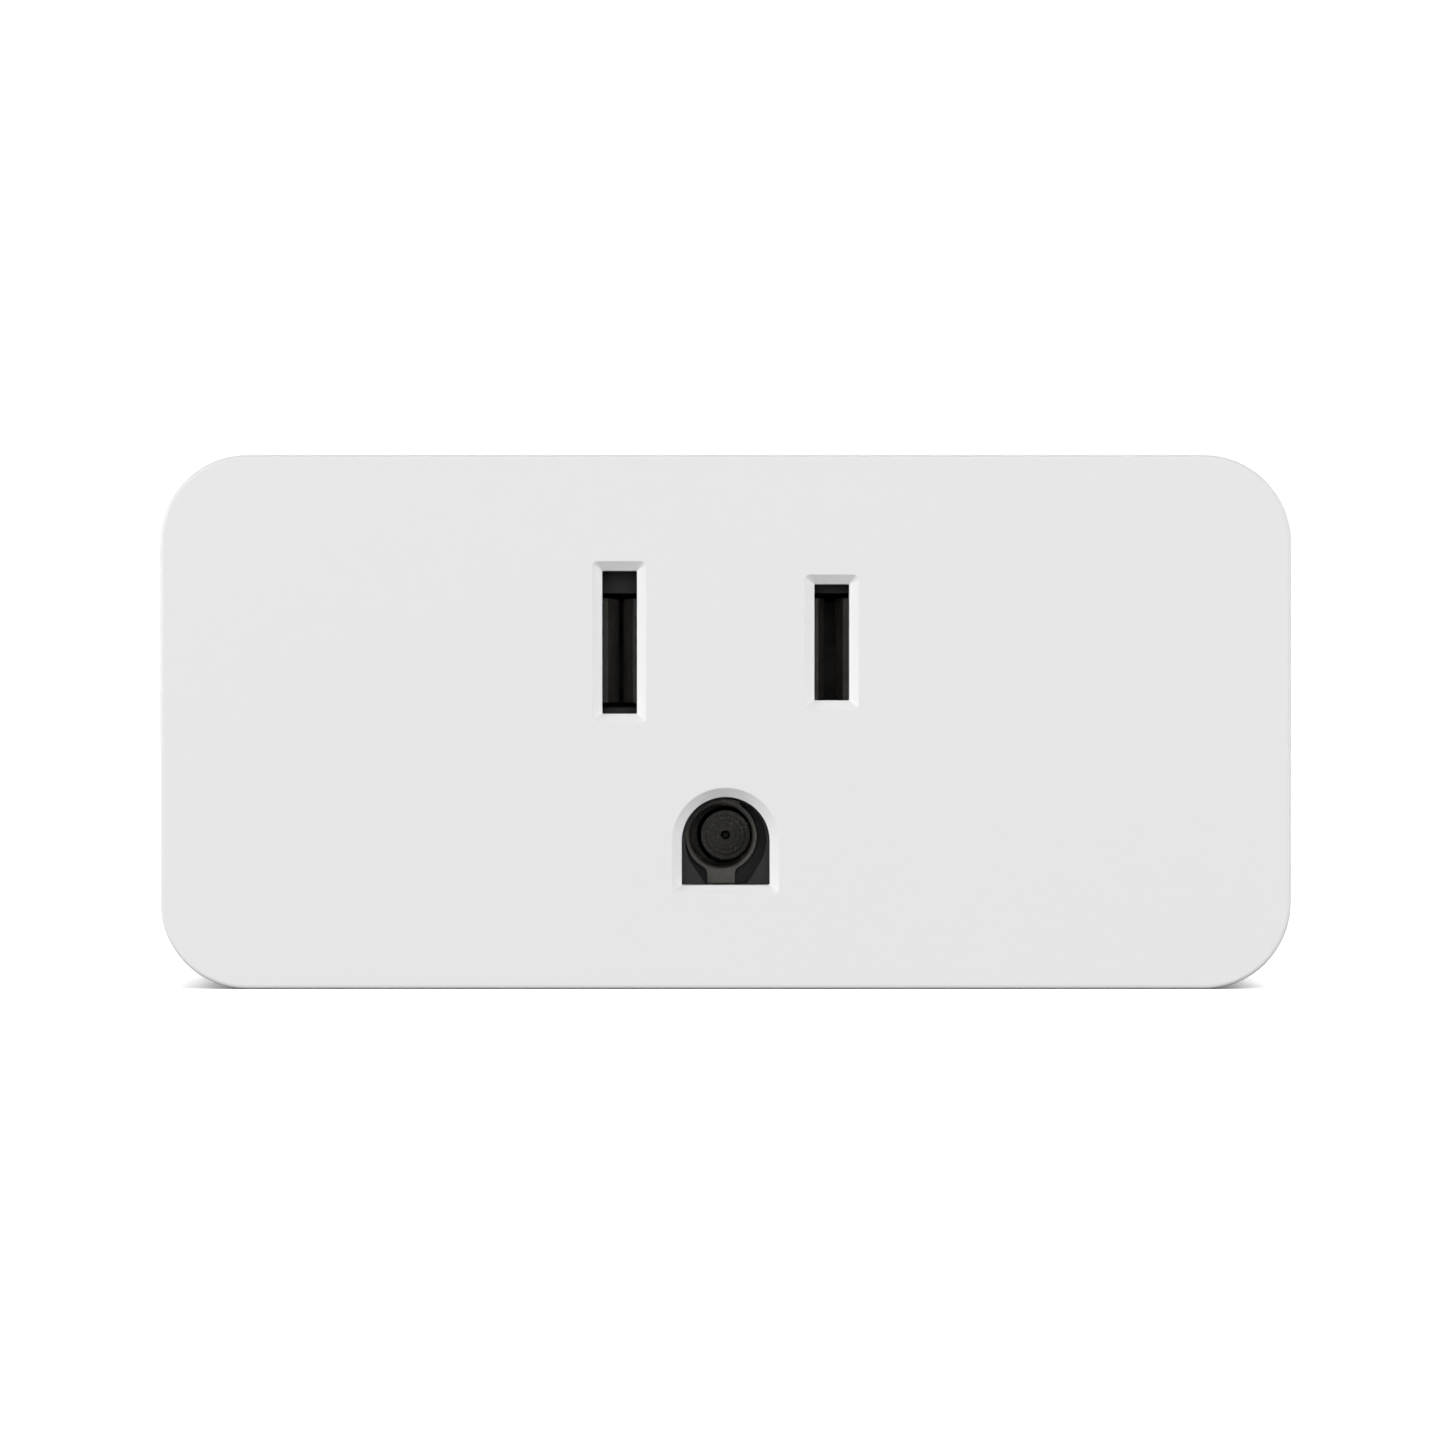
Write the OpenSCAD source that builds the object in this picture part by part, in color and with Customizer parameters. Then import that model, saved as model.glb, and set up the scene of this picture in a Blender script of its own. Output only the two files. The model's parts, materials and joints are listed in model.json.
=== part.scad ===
// Smart plug: a wall socket adaptor with a radio-controlled relay.
// X runs to the right, Z runs up, and Y runs from the front face to the wall.
// The origin is the centre of the face that lies on the wall outlet.

/* [Casing] */
// Width of the casing
body_w = 67.6; // [67.6:0.1:90]
// Height of the casing
body_h = 31.9; // [31:0.1:45]
// Depth of the casing, from the front face to the wall face
body_d = 33; // [32.5:0.5:45]
// Radius of the four long corners
corner_r = 5.2; // [4.5:0.1:8]
// Thickness of the side walls
wall = 1.9; // [1.5:0.1:2.4]
// Thickness of the front face
face_t = 1.9; // [1.5:0.1:2.4]
// Thickness of the back plate
back_t = 2.2; // [1.8:0.1:2.8]
// Depth of the rear cover's side wall
cover_d = 6.5; // [5.5:0.1:9]
// Width of the shadow gap at the seam
reveal = 0.2; // [0.1:0.05:0.4]
// Length of the rear cover's tongue inside the shell
lip_len = 2.4; // [1.5:0.1:3]
// Thickness of that tongue
lip_t = 0.9; // [0.6:0.1:1.2]

/* [Socket] */
// Distance between the two blade slots
blade_pitch = 12.7; // [12.7:0.1:12.7]
// Distance from the blades' line to the ground pin
ground_drop = 11.89; // [11.89:0.01:11.89]
// Height of the blades' line above the casing's centre
blade_z = 4.77; // [4:0.01:5.2]
// Width of both blade slots
slot_w = 2.09; // [1.9:0.01:2.4]
// Height of the neutral slot
neutral_slot_h = 8.55; // [8.2:0.05:8.9]
// Height of the live slot
live_slot_h = 6.95; // [6.7:0.05:7.4]
// Radius of the ground opening's round top, which is half its width
ground_hole_r = 2.635; // [2.6:0.005:2.8]
// Width of the flare around each opening
flare = 0.56; // [0.3:0.01:0.8]
// Depth that a plug's blade needs behind the front face
blade_room = 19; // [18.6:0.1:20]
// Width of the black socket block
block_w = 23; // [22:0.1:24]
// Radius of the round guide for the ground pin
guide_r = 2.46; // [2.44:0.01:2.48]
// Length of that guide
guide_len = 2.4; // [1.5:0.1:4]
// Thickness of the contacts' sheet metal
contact_t = 0.4; // [0.3:0.05:0.5]
// Height of the blade contacts
contact_h = 6.3; // [5:0.1:7]
// Gap between the neutral contact's leaves
neutral_gap = 0.28; // [0.1:0.02:1.2]
// Gap between the live contact's leaves
live_gap = 0.66; // [0.1:0.02:1.2]

/* [Prongs] */
// Thickness of a blade
blade_t = 1.52; // [1.4:0.01:1.6]
// Height of a blade
blade_h = 6.35; // [6.2:0.05:6.5]
// Length of a blade outside the casing
blade_len = 17.9; // [16:0.1:18.3]
// Radius of the ground pin
pin_r = 2.39; // [2.35:0.01:2.45]
// Length of the ground pin outside the casing
pin_len = 21.2; // [20:0.1:21.6]
// Thickness of the collar at the ground pin's root
pin_collar = 0.2; // [0.18:0.01:0.3]
// Radius of the hole near a blade's tip
blade_hole_r = 1.6; // [1.5:0.05:2]
// Distance from the wall face to that hole
blade_hole_y = 11.9; // [11:0.1:13]

/* [Button] */
// Length of the button, along the casing's depth
button_l = 9; // [6:0.1:11]
// Height of the button
button_h = 5; // [3:0.1:6]
// Gap around the button
button_gap = 0.12; // [0.05:0.01:0.25]
// Travel of the button
button_travel = 0.35; // [0.2:0.05:0.4]
// Depth of the button's face below the side wall
button_recess = 0.15; // [0:0.05:0.4]
// Distance from the front face to the button's centre
button_y = 14; // [12:0.1:16]
// Distance from the front face to the status light
lens_y = 5.6; // [5:0.1:6.5]
// Radius of the status light
lens_r = 0.9; // [0.6:0.1:1.2]

/* [Boards] */
// Thickness of the main board
board_t = 1.6; // [1.2:0.1:1.8]
// Thickness of the control board
control_t = 1; // [0.8:0.1:1.2]
// Gap around a board
board_gap = 0.3; // [0.2:0.05:0.5]

/* [Relay] */
// Width of the relay
relay_w = 10.2; // [10:0.1:10.4]
// Length of the relay
relay_l = 20.5; // [20.3:0.1:21.5]
// Height of the relay above the board
relay_h = 15.3; // [15.1:0.1:16]
// Wall of the relay's case
relay_wall = 0.5; // [0.4:0.05:0.6]
// Angle by which the armature stands open at rest
armature_tilt = 5; // [4:0.5:6]

/* [Fasteners] */
// Radius of the screw posts
post_r = 2.6; // [2.3:0.1:2.8]
// Radius of a cover screw's shank
screw_r = 1.25; // [1:0.05:1.3]
// Radius of a cover screw's head
head_r = 2; // [1.8:0.1:2.1]
// Depth of a cover screw's head below the wall face
head_sink = 3; // [2:0.1:3.4]

/* [Hidden] */
$fn = 48;
eps = 0.05;           // overshoot of a cut past the face it leaves
slip = 0.1;           // gap between pieces that are put together by hand
hole_slack = 0.05;    // radial gap of a lead, tab or pin in its hole
lead_slack = 0.15;    // radial gap of a lead or tab in the main board's holes, which solder fills

// Colours
white_plastic = [0.93, 0.93, 0.93];
black_plastic = [0.1, 0.1, 0.1];
grey_metal = [0.7, 0.7, 0.72];
brass = [0.85, 0.72, 0.4];
copper = [0.75, 0.42, 0.25];
board_green = [0.08, 0.3, 0.17];

// Depth stations of the casing
front_y = -body_d;
face_in_y = front_y + face_t;
back_in_y = -back_t;
seam_y = -cover_d;
cover_front_y = seam_y + reveal;
lip_end_y = cover_front_y - lip_len;
post_end_y = lip_end_y - slip;

// Inside half-sizes of the casing
in_x = body_w / 2 - wall;
in_z = body_h / 2 - wall;
in_r = corner_r - wall;
lip_x = in_x - slip - lip_t;
lip_z = in_z - slip - lip_t;

// Screw posts stand at the centres of the corner arcs
post_x = body_w / 2 - corner_r;
post_z = body_h / 2 - corner_r;
rib_t = 1.2;

// Socket positions
blade_x = blade_pitch / 2;
ground_z = blade_z - ground_drop;

// Socket block
block_top = blade_z + neutral_slot_h / 2 + 1.7;
block_bottom = ground_z - ground_hole_r - 1.5;
block_rear_y = front_y + blade_room;
block_back_t = 1.2;
block_back_y = block_rear_y + block_back_t;
rim_t = 0.8;
rim_h = 2;
d_pocket_depth = 1.2;
keyway_half_w = 1.22;
guide_end_y = face_in_y + d_pocket_depth + guide_len;
blade_entry_depth = 2.2;
chamber_half_w = 2.2;

// Contacts
contact_z = blade_z - 0.45;
contact_mouth_y = face_in_y + blade_entry_depth + 0.5;
contact_rear_y = block_rear_y - slip;
ground_contact_y = guide_end_y + 0.4;
ground_contact_x = -0.28;
ground_contact_z = ground_z + 0.22;
ground_bore_r = 1.9;
ground_sheet = 0.3;
ground_neck_half_w = 0.84;
ground_tab_half_w = 1.1;

// Prong roots, from the back plate inwards
flange_t = 1;
flange_in_y = back_in_y - flange_t;
carrier_t = 1.8;
carrier_in_y = flange_in_y - carrier_t;
solder_room = 2;
board_rear_y = carrier_in_y - solder_room;
board_front_y = board_rear_y - board_t;
lead_tail = 0.8;
blade_tab_h = 2.8;
blade_tab_half_t = 0.5;
contact_tab_z = contact_z - contact_h / 2 + 0.9;
contact_tab_h = 1.5;
contact_tab_half_t = 0.4;
stud_r = 1.5;
rivet_r = 1.8;
rivet_h = 0.6;
strap_t = 0.8;
strap_rear_y = board_front_y - 0.5;
strap_front_y = strap_rear_y - strap_t;

// Board screws
board_screw_x = block_w / 2 - 1.9;
board_screw_z = ground_z;
board_screw_r = 0.95;
board_post_r = 1.9;

// Relay, whose heights are counted from the main board
relay_x = block_w / 2 + 1.1 + relay_w / 2;
relay_lift = 0.2;
relay_base_t = 1.2;
coil_axis = 6.8;
coil_low_z = -7.4;
coil_high_z = 3.6;
flange_z = 0.8;
core_r = 1.5;
barrel_r = 2.2;
winding_r = 3.7;
pole_r = 2.8;
pole_face_z = coil_high_z + flange_z + 0.9;
yoke_t = 1;
yoke_top = coil_axis + 4.6;
armature_face_z = pole_face_z + 0.05;
armature_t = 1;
hinge_r = yoke_t / 2;
hinge_height = yoke_top + hinge_r;
hinge_z = armature_face_z - hinge_r - 0.03;
leaf_t = 0.3;
leaf_z = armature_face_z + armature_t;
spring_t = 0.2;
contact_height = 2.7;
contact_button_r = 0.95;
contact_button_t = 0.5;
fixed_face_z = leaf_z - contact_button_t - 0.03;
terminal_t = 0.5;
terminal_z = fixed_face_z - contact_button_t - terminal_t;
terminal_half_w = 1.8;

// Control board, button and switch, counted inwards from the side wall
control_out_x = in_x - 4.9;
control_in_x = control_out_x - control_t;
control_half_h = post_z - post_r - 0.5;
control_front_y = front_y + face_t + 1.7;
control_rear_y = board_front_y - 0.4;
button_centre_y = front_y + button_y;
lens_centre_y = front_y + lens_y;
button_flange = 0.7;
button_flange_t = 0.8;
button_flange_out_x = in_x - 0.05;
button_flange_in_x = button_flange_out_x - button_flange_t;
plunger_tip_x = button_flange_in_x - 0.05;
switch_size = 6;
switch_top_x = control_out_x + 3.4;
switch_cover_t = 0.2;
switch_floor_x = control_out_x + 1.2;
dome_rise = 0.35;
dome_t = 0.12;
plunger_r = 1.7;
header_y = control_rear_y - 1.3;
header_pitch = 2.54;
header_in_x = control_in_x - 2.1;
pin_half = 0.3;

// Power supply parts on the board's other wing
capacitor_r = 4;
capacitor_h = 12;
capacitor_x = -(block_w / 2 + 1.5 + capacitor_r);
capacitor_zs = [8.6, -0.2];
output_capacitor_r = 2;
output_capacitor_h = 7;
output_capacitor_at = [post_r + output_capacitor_r - 0.2 - post_x, 7.7];
varistor_at = [capacitor_x, -9.2];
varistor_r = 3.5;
varistor_t = 3;
fuse_at = [-23.2, -9.4];
fuse_r = 1.6;
fuse_h = 8;
transformer_x = -26.5;
core_half_z = 5.3;
core_half_x = 2.3;
core_leg = 1.4;
core_yoke = 1.6;
core_rear_y = board_front_y - 1.3;
core_front_y = core_rear_y - 9.7;
bobbin_half_x = 4;
bobbin_half_z = core_half_z - core_leg - 0.2;
bobbin_flange = 0.7;
tube_t = 0.5;
stand_off = 0.2;
lead_r = 0.3;
transformer_pin_z = [-4, -1.3, 1.3, 4];

// Leads that pass through the main board, as [x, z] pairs
capacitor_leads = [for (z = capacitor_zs, s = [-1, 1]) [capacitor_x + s * 1.75, z]];
output_leads = [for (s = [-1, 1]) [output_capacitor_at.x + s * 1, output_capacitor_at.y]];
varistor_leads = [for (s = [-1, 1]) [varistor_at.x + s * 2.5, varistor_at.y]];
fuse_leads = [fuse_at, fuse_at + [0, -2.2]];
transformer_leads = [for (s = [-1, 1], z = transformer_pin_z) [transformer_x + s * 3.3, z]];
relay_leads = [for (s = [-1, 1], z = [-9, -4]) [relay_x + s * 3.6, z]];
header_leads = [for (i = [-1.5:1:1.5]) [header_in_x + 1, i * header_pitch]];
round_leads = concat(
    capacitor_leads, output_leads, varistor_leads, fuse_leads,
    transformer_leads, relay_leads, header_leads
);

// A box between two opposite corners
module bar(low, high) translate(low) cube(high - low);

// A flat shape in X and Z, carried along Y from y0 to y1
module along_y(y0, y1) translate([0, y1, 0]) rotate([90, 0, 0]) linear_extrude(y1 - y0) children();

// A flat shape in Y and Z, carried along X from x0 to x1
module along_x(x0, x1) translate([x0, 0, 0]) rotate([90, 0, 90]) linear_extrude(x1 - x0) children();

// A flat shape in X and Y, carried along Z from z0 to z1
module along_z(z0, z1) translate([0, 0, z0]) linear_extrude(z1 - z0) children();

// Round rods along each axis
module rod_y(x, z, y0, y1, r) translate([x, y0, z]) rotate([-90, 0, 0]) cylinder(h = y1 - y0, r = r);
module rod_x(y, z, x0, x1, r) translate([x0, y, z]) rotate([0, 90, 0]) cylinder(h = x1 - x0, r = r);
module rod_z(x, y, z0, z1, r) translate([x, y, z0]) cylinder(h = z1 - z0, r = r);

// A rectangle about the centre, given by its half-sizes, with round corners
module rounded_rect(half_w, half_h, r) {
    square([2 * (half_w - r), 2 * half_h], center = true);
    square([2 * half_w, 2 * (half_h - r)], center = true);
    for (sx = [-1, 1], sy = [-1, 1])
        translate([sx * (half_w - r), sy * (half_h - r)]) circle(r);
}

// A slot with round ends, its length along the first axis
module stadium(length, width) {
    square([length - width, width], center = true);
    for (s = [-1, 1])
        translate([s * (length - width) / 2, 0]) circle(width / 2);
}

// The ground opening: a round top over a square bottom
module ground_outline(r) {
    circle(r);
    translate([-r, -r]) square([2 * r, r]);
}

// Copies its children to each screw post
module at_posts() for (sx = [-1, 1], sz = [-1, 1]) translate([sx * post_x, 0, sz * post_z]) children();

// A tapered prism whose sides lean out by the flare at the front face, with mitred corners
module flare_cut(low_x, high_x, low_z, high_z, top_flare = 1) {
    reach = flare + eps;
    intersection() {
        along_z(low_z - reach, high_z + reach * top_flare)
            polygon([
                [low_x - reach, front_y - eps], [high_x + reach, front_y - eps],
                [high_x, front_y + flare], [low_x, front_y + flare]
            ]);
        along_x(low_x - reach, high_x + reach)
            polygon([
                [front_y - eps, low_z - reach], [front_y - eps, high_z + reach * top_flare],
                [front_y + flare, high_z], [front_y + flare, low_z]
            ]);
    }
}

// A blade slot through the front face
module blade_slot_cut(x, height) {
    low_z = blade_z - height / 2;
    high_z = blade_z + height / 2;
    bar([x - slot_w / 2, front_y - eps, low_z], [x + slot_w / 2, face_in_y + eps, high_z]);
    flare_cut(x - slot_w / 2, x + slot_w / 2, low_z, high_z);
}

// The ground opening through the front face
module ground_slot_cut() {
    r = ground_hole_r;
    along_y(front_y - eps, face_in_y + eps) translate([0, ground_z]) ground_outline(r);
    translate([0, front_y - eps, ground_z]) rotate([-90, 0, 0])
        cylinder(h = flare + eps, r1 = r + flare + eps, r2 = r);
    flare_cut(-r, r, ground_z - r, ground_z, 0);
}

// One screw post of the shell, with two ribs that tie it to the walls
module shell_post(sx, sz) {
    rod_y(sx * post_x, sz * post_z, face_in_y - eps, post_end_y, post_r);
    x_tie = sx * (in_x + eps);
    z_tie = sz * (in_z + eps);
    bar([min(sx * post_x, x_tie), face_in_y - eps, sz * post_z - rib_t / 2],
        [max(sx * post_x, x_tie), post_end_y, sz * post_z + rib_t / 2]);
    bar([sx * post_x - rib_t / 2, face_in_y - eps, min(sz * post_z, z_tie)],
        [sx * post_x + rib_t / 2, post_end_y, max(sz * post_z, z_tie)]);
}

// The rim on the front face's inside that locates the socket block
module block_rim() {
    x = block_w / 2 + slip;
    low = block_bottom - slip;
    high = block_top + slip;
    difference() {
        bar([-x - rim_t, face_in_y - eps, low - rim_t], [x + rim_t, face_in_y + rim_h, high + rim_t]);
        bar([-x, face_in_y - 2 * eps, low], [x, face_in_y + rim_h + eps, high]);
    }
}

// Two ribs on the front face's inside that hold the control board's edge
module board_guides() {
    for (x = [control_in_x - slip - rim_t, control_out_x + slip])
        bar([x, face_in_y - eps, 1 - control_half_h], [x + rim_t, control_front_y + 0.8, control_half_h - 1]);
}

module front_shell() color(white_plastic) {
    screw_tip_y = post_end_y - 8;
    difference() {
        union() {
            difference() {
                along_y(front_y, seam_y) rounded_rect(body_w / 2, body_h / 2, corner_r);
                along_y(face_in_y, seam_y + eps) rounded_rect(in_x, in_z, in_r);
            }
            for (sx = [-1, 1], sz = [-1, 1]) shell_post(sx, sz);
            block_rim();
            board_guides();
        }
        blade_slot_cut(-blade_x, neutral_slot_h);
        blade_slot_cut(blade_x, live_slot_h);
        ground_slot_cut();
        along_x(in_x - eps, body_w / 2 + eps) translate([button_centre_y, 0])
            stadium(button_l + 2 * button_gap, button_h + 2 * button_gap);
        rod_x(lens_centre_y, 0, in_x - eps, body_w / 2 + eps, lens_r + hole_slack);
        at_posts() rod_y(0, 0, screw_tip_y, post_end_y + eps, screw_r + hole_slack);
    }
}

// The hole for one blade through the back plate
module blade_hole(s) {
    half_t = blade_t / 2 + hole_slack;
    half_h = blade_h / 2 + hole_slack;
    bar([s * blade_x - half_t, back_in_y - eps, blade_z - half_h],
        [s * blade_x + half_t, eps, blade_z + half_h]);
}

module rear_cover() color(white_plastic) {
    difference() {
        union() {
            difference() {
                union() {
                    along_y(cover_front_y, 0) rounded_rect(body_w / 2, body_h / 2, corner_r);
                    along_y(lip_end_y, cover_front_y + eps)
                        rounded_rect(in_x - slip, in_z - slip, in_r - slip);
                }
                along_y(lip_end_y - eps, back_in_y) rounded_rect(lip_x, lip_z, in_r - slip - lip_t);
            }
            at_posts() rod_y(0, 0, post_end_y, back_in_y + eps, post_r);
        }
        for (sx = [-1, 1])
            blade_hole(sx);
        rod_y(0, ground_z, back_in_y - eps, eps, pin_r + pin_collar + hole_slack);
        at_posts() {
            rod_y(0, 0, post_end_y - eps, eps, screw_r + 0.2);
            rod_y(0, 0, -head_sink - 1.6, eps, head_r + 0.2);
        }
    }
}

// Four thread-forming screws with a three-lobed drive
module cover_screws() color(grey_metal) {
    head_y = -head_sink - 1.6;
    at_posts() difference() {
        union() {
            rod_y(0, 0, head_y, -head_sink, head_r);
            rod_y(0, 0, post_end_y - 6.5, head_y + eps, screw_r);
        }
        for (a = [0, 120, 240]) rotate([0, a, 0])
            bar([-0.25, -head_sink - 0.9, 0], [0.25, -head_sink + eps, head_r * 0.62]);
    }
}

module button_cap() color(white_plastic) {
    along_x(button_flange_out_x - eps, body_w / 2 - button_recess) translate([button_centre_y, 0])
        stadium(button_l, button_h);
    along_x(button_flange_in_x, button_flange_out_x) translate([button_centre_y, 0])
        stadium(button_l + 2 * button_flange, button_h + 2 * button_flange);
}

// A light guide from the light source to the side wall
module status_lens() color([0.9, 0.9, 0.88]) {
    led_top_x = control_out_x + 0.9;
    rod_x(lens_centre_y, 0, led_top_x + 0.3, body_w / 2, lens_r);
    rod_x(lens_centre_y, 0, in_x - 1, in_x, lens_r + 0.6);
}

// The pocket of one blade contact: a narrow entry, then a chamber open at the rear
module contact_pocket(x, entry_h) {
    entry_end_y = face_in_y + blade_entry_depth;
    chamber_h = contact_h + 0.6;
    bar([x - slot_w / 2, face_in_y - eps, blade_z - entry_h / 2],
        [x + slot_w / 2, entry_end_y + eps, blade_z + entry_h / 2]);
    bar([x - chamber_half_w, entry_end_y, contact_z - chamber_h / 2],
        [x + chamber_half_w, block_rear_y + eps, contact_z + chamber_h / 2]);
}

module socket_block() color(black_plastic) {
    r = ground_hole_r;
    difference() {
        bar([-block_w / 2, face_in_y, block_bottom], [block_w / 2, block_rear_y, block_top]);
        contact_pocket(-blade_x, neutral_slot_h);
        contact_pocket(blade_x, live_slot_h);
        // ground: a shallow pocket with the opening's shape, a round guide with a keyway, and a chamber
        along_y(face_in_y - eps, face_in_y + d_pocket_depth) translate([0, ground_z]) ground_outline(r);
        rod_y(0, ground_z, face_in_y, guide_end_y + eps, guide_r);
        bar([-keyway_half_w, face_in_y + d_pocket_depth - eps, ground_z - r],
            [keyway_half_w, guide_end_y + eps, ground_z]);
        bar([-chamber_half_w - 1, guide_end_y, ground_z - r - 0.7],
            [chamber_half_w + 1, block_rear_y + eps, ground_z + r + 0.7]);
    }
}

// The plate that closes the socket block, with two posts that carry the main board
module socket_block_back() color(black_plastic) {
    difference() {
        union() {
            bar([-block_w / 2, block_rear_y, block_bottom], [block_w / 2, block_back_y, block_top]);
            for (s = [-1, 1])
                rod_y(s * board_screw_x, board_screw_z, block_back_y - eps, board_front_y, board_post_r);
        }
        for (s = [-1, 1]) {
            contact_tab_cut(s, block_rear_y, block_back_y);
            rod_y(s * board_screw_x, board_screw_z, block_back_y, board_front_y + eps,
                  board_screw_r + hole_slack);
        }
        rod_y(0, ground_z, block_rear_y - eps, block_back_y + eps, guide_r + 0.2);
        ground_tail(block_rear_y - eps, block_back_y + eps, hole_slack);
    }
}

// The hole for one blade contact's tab, between two depths
module contact_tab_cut(s, y0, y1) {
    half_t = contact_tab_half_t + hole_slack;
    half_h = contact_tab_h / 2 + hole_slack;
    bar([s * blade_x - half_t, y0 - eps, contact_tab_z - half_h],
        [s * blade_x + half_t, y1 + eps, contact_tab_z + half_h]);
}

// A bent strip of sheet metal in X and Y: a closed outline at half the sheet on each side of its path
module bent_strip(path, half) {
    n = len(path);
    function direction(i) =
        let (a = path[max(i - 1, 0)], b = path[min(i + 1, n - 1)], d = b - a) d / norm(d);
    function side(i, s) = let (d = direction(i)) path[i] + s * half * [-d.y, d.x];
    polygon(concat([for (i = [0:n - 1]) side(i, 1)], [for (i = [n - 1:-1:0]) side(i, -1)]));
}

// A blade contact: two spring leaves that close to a gap at their waist and are joined by a bend at the rear
module blade_contact(s, gap) {
    half = contact_t / 2;
    waist = gap / 2 + half;
    belly = chamber_half_w - 0.3 - half;
    mouth_y = contact_mouth_y;
    rear_y = contact_rear_y - half;
    right_leaf = [
        [1.15 - half, mouth_y], [waist, mouth_y + 2.6], [waist, mouth_y + 3.6],
        [belly, mouth_y + 8.5], [belly, rear_y - 0.5], [belly - 0.5, rear_y]
    ];
    left_leaf = [for (i = [len(right_leaf) - 1:-1:0]) [-right_leaf[i].x, right_leaf[i].y]];
    translate([s * blade_x, 0, 0]) {
        along_z(contact_z - contact_h / 2, contact_z + contact_h / 2)
            bent_strip(concat(right_leaf, left_leaf), half);
        bar([-contact_tab_half_t, contact_rear_y - eps, contact_tab_z - contact_tab_h / 2],
            [contact_tab_half_t, board_rear_y + lead_tail, contact_tab_z + contact_tab_h / 2]);
    }
}

module neutral_contact() color(grey_metal) blade_contact(-1, neutral_gap);

module live_contact() color(grey_metal) blade_contact(1, live_gap);

// The flat tail of the ground contact, with an allowance for the hole that it passes through
module ground_tail(y0, y1, slack = 0) {
    low_z = ground_contact_z - ground_bore_r - ground_sheet - 0.5;
    bar([ground_contact_x - 1.2 - slack, y0, low_z - slack],
        [ground_contact_x + 1.2 + slack, y1, low_z + 0.6 + slack]);
}

// The ground contact: a flat collar with a neck and a tab, a sleeve slit into four fingers, and a tail
module ground_contact() color(grey_metal) {
    outer = ground_bore_r + ground_sheet;
    collar_end_y = ground_contact_y + 0.7;
    sleeve_end_y = block_rear_y - 0.6;
    reach = ground_hole_r + 0.3;
    difference() {
        union() {
            rod_y(ground_contact_x, ground_contact_z, ground_contact_y, sleeve_end_y, outer);
            bar([-ground_neck_half_w, ground_contact_y, ground_z - reach],
                [ground_neck_half_w, collar_end_y, ground_contact_z]);
            bar([-ground_tab_half_w, ground_contact_y, ground_contact_z],
                [ground_tab_half_w, collar_end_y, ground_z + reach]);
            ground_tail(sleeve_end_y - 3, strap_front_y);
        }
        rod_y(ground_contact_x, ground_contact_z, ground_contact_y - eps, sleeve_end_y + eps, ground_bore_r);
        for (a = [45, 135]) translate([ground_contact_x, 0, ground_contact_z]) rotate([0, a, 0])
            bar([-outer - 1, collar_end_y + 1, -0.25], [outer + 1, sleeve_end_y - 4, 0.25]);
    }
}

// A flat blade with a rounded tip, a cross hole, a shoulder inside the casing and a solder tab
module blade(s) {
    tip = 1.6;
    nick = 0.3 * tip;
    taper = 0.45;
    half_h = blade_h / 2;
    half_t = blade_t / 2;
    translate([s * blade_x, 0, blade_z]) {
        difference() {
            intersection() {
                along_x(-half_t, half_t) polygon([
                    [back_in_y, -half_h], [blade_len - tip, -half_h], [blade_len - nick, nick - half_h],
                    [blade_len, tip - half_h], [blade_len, half_h - tip],
                    [blade_len - nick, half_h - nick], [blade_len - tip, half_h], [back_in_y, half_h]
                ]);
                along_z(-half_h, half_h) polygon([
                    [-half_t, back_in_y], [half_t, back_in_y], [half_t, blade_len - 1.2],
                    [half_t - taper, blade_len], [-half_t + taper, blade_len], [-half_t, blade_len - 1.2]
                ]);
            }
            rod_x(blade_hole_y, 0, -half_t - eps, half_t + eps, blade_hole_r);
        }
        bar([-half_t, flange_in_y, -half_h - 1.4], [half_t, back_in_y, half_h + 1.4]);
        bar([-blade_tab_half_t, board_front_y - lead_tail, -blade_tab_h / 2],
            [blade_tab_half_t, flange_in_y + eps, blade_tab_h / 2]);
    }
}

module neutral_blade() color(brass) blade(-1);

module live_blade() color(brass) blade(1);

// The round ground pin: a domed tip, a collar in the back plate, a flange behind it and a riveted stud
module ground_pin() color(brass) {
    dome = 1.7;
    dome_steps = 8;
    collar_r = pin_r + pin_collar;
    profile = concat(
        [[0, flange_in_y], [3.4, flange_in_y], [3.4, back_in_y]],
        [[collar_r, back_in_y], [collar_r, 0], [pin_r, 0]],
        [for (i = [0:dome_steps]) let (a = 90 * i / dome_steps)
            [pin_r * cos(a), pin_len - dome + dome * sin(a)]]
    );
    translate([0, 0, ground_z]) rotate([-90, 0, 0]) difference() {
        union() {
            rotate_extrude() polygon(profile);
            translate([0, 0, strap_front_y]) cylinder(h = flange_in_y - strap_front_y + eps, r = stud_r);
            translate([0, 0, strap_front_y - rivet_h]) cylinder(h = rivet_h, r = rivet_r);
        }
        translate([0, 0, strap_front_y - rivet_h - eps]) cylinder(h = 0.3, r = 0.25);
    }
}

// The strap that joins the ground contact's tail to the ground pin's stud
module ground_strap() color(grey_metal) {
    difference() {
        bar([-2.3, strap_front_y, ground_z - 3.4], [2.3, strap_rear_y, ground_z + 2.3]);
        rod_y(0, ground_z, strap_front_y - eps, strap_rear_y + eps, stud_r + hole_slack);
    }
}

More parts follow.
